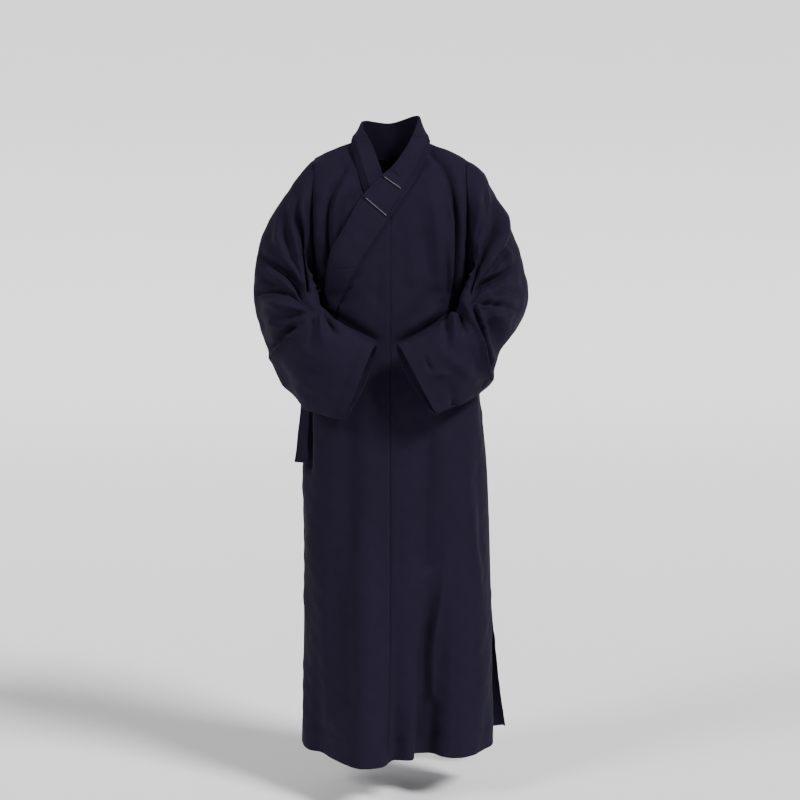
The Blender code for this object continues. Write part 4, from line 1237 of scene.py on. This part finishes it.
class ROBE_OT_ties(RobeStep, bpy.types.Operator):
    """Build the knotted tie at the right side"""

    bl_idname = "robe.ties"
    bl_label = "Ties"

    def execute(self, context):
        wall = context.scene.robe_cloth.wall
        for name, *stations in TIES:
            rows = smooth(stations, np.linspace(0, 2, 90))
            turn = np.radians(rows[:, 4])
            sideways = np.stack([np.cos(turn), np.sin(turn), 0 * turn], axis=-1) * rows[:, 3:4]
            across = np.linspace(-1, 1, 15)[None, :, None]
            grid = rows[:, None, :3] + sideways[:, None] * across
            normals = grid_normals(grid, -1.0)
            grid = grid + normals * (0.0012 * crumple(grid, 0.05, 21))[..., None]
            piece = cloth_piece(f"{name}_cloth", grid, normals, wall, outside=-1.0)
            settle(piece, name, TIE_FLAT, TIE_AREA, "hung", ["tie_knot_cloth"])
        bpy.ops.mesh.primitive_uv_sphere_add(segments=40, ring_count=24, radius=1.0)
        knot = bpy.context.object
        knot.name = knot.data.name = "tie_knot_cloth"
        points = np.array([v.co[:] for v in knot.data.vertices])
        swell = 1 + 0.10 * np.sin(points[:, 2] * 6 + points[:, 1] * 3)
        points = points * swell[:, None] * KNOT_SIZE + KNOT
        knot.data.vertices.foreach_set("co", points.ravel())
        knot.data.shade_smooth()
        knot.data.materials.append(cloth_material())
        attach(knot, "root")
        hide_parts("tie_knot")
        return {"FINISHED"}


ROBE_MIDDLE = (0.022, 0.0, -0.579)
STUDIO_LIGHTS = (
    # name, the way the light travels, softness in degrees, strength
    ("right_box", (-0.80, 0.62, -0.95), 15, 4.3),
    ("left_box", (0.90, 0.60, -0.80), 20, 1.7),
    ("front_box", (0.0, 1.0, -0.30), 30, 0.15),
    ("back_box", (-0.25, -1.0, -0.50), 30, 1.0),
)


def studio_floor(height):
    """A pale floor that sweeps up behind the robe into a backdrop."""
    turn = np.radians(np.linspace(0, 90, 25))
    profile = [(-14.0, 0.0)] + [(8 + 3 * math.sin(a), 3 - 3 * math.cos(a)) for a in turn] + [(11.0, 14.0)]
    points = [(x, y, height + z) for y, z in profile for x in (-16.0, 16.0)]
    faces = [(2 * i, 2 * i + 1, 2 * i + 3, 2 * i + 2) for i in range(len(profile) - 1)]
    mesh = bpy.data.meshes.new("floor")
    mesh.from_pydata(points, [], faces)
    mesh.shade_smooth()
    floor = bpy.data.objects.new("floor", mesh)
    bpy.context.scene.collection.objects.link(floor)
    floor.data.materials.append(plain_material("pale_floor", (0.93, 0.93, 0.94), 0.9))
    return floor


class ROBE_OT_stage(RobeStep, bpy.types.Operator):
    """Set the floor, the lights and the camera"""

    bl_idname = "robe.stage"
    bl_label = "Stage"

    def execute(self, context):
        stage = context.scene.robe_stage
        floor = studio_floor(stage.floor_z)
        world = bpy.data.worlds.new("studio")
        world.use_nodes = True
        set_inputs(world.node_tree.nodes["Background"], Color=(0.95, 0.97, 1.0, 1.0), Strength=0.11)
        context.scene.world = world
        for name, way, softness, strength in STUDIO_LIGHTS:
            lamp = bpy.data.lights.new(name, "SUN")
            lamp.angle, lamp.energy = math.radians(softness), strength
            thing = bpy.data.objects.new(name, lamp)
            thing.rotation_euler = Vector(way).to_track_quat("-Z", "Y").to_euler()
            context.scene.collection.objects.link(thing)
        camera = bpy.data.objects.new("camera", bpy.data.cameras.new("camera"))
        camera.data.lens = stage.lens
        camera.data.sensor_width = 36.0
        camera.location = (0.0, -stage.distance, stage.eye_height)
        aim = Vector(ROBE_MIDDLE) - camera.location
        camera.rotation_euler = aim.to_track_quat("-Z", "Y").to_euler()
        context.scene.collection.objects.link(camera)
        context.scene.camera = camera
        return {"FINISHED"}


class ROBE_PT_panel(bpy.types.Panel):
    """Every step of the robe, in order"""

    bl_idname = "ROBE_PT_panel"
    bl_label = "Monk's Robe"
    bl_space_type = "VIEW_3D"
    bl_region_type = "UI"
    bl_category = "Robe"

    def draw(self, context):
        for group in (context.scene.robe_cloth, context.scene.robe_stage):
            for name in group.__annotations__:
                self.layout.prop(group, name)
        for step in STEPS:
            self.layout.operator(step.bl_idname)


STEPS = (
    ROBE_OT_fronts,
    ROBE_OT_backs,
    ROBE_OT_sleeves,
    ROBE_OT_collar,
    ROBE_OT_ties,
    ROBE_OT_stitches,
    ROBE_OT_stage,
)
CLASSES = (MonkRobeCloth, MonkRobeStage, *STEPS, ROBE_PT_panel)


def register():
    for made in CLASSES:
        bpy.utils.register_class(made)
    bpy.types.Scene.robe_cloth = PointerProperty(type=MonkRobeCloth)
    bpy.types.Scene.robe_stage = PointerProperty(type=MonkRobeStage)


def unregister():
    del bpy.types.Scene.robe_stage
    del bpy.types.Scene.robe_cloth
    for made in reversed(CLASSES):
        bpy.utils.unregister_class(made)


def main():
    register()
    for step in STEPS:
        group, name = step.bl_idname.split(".")
        getattr(getattr(bpy.ops, group), name)()


if __name__ == "__main__":
    main()
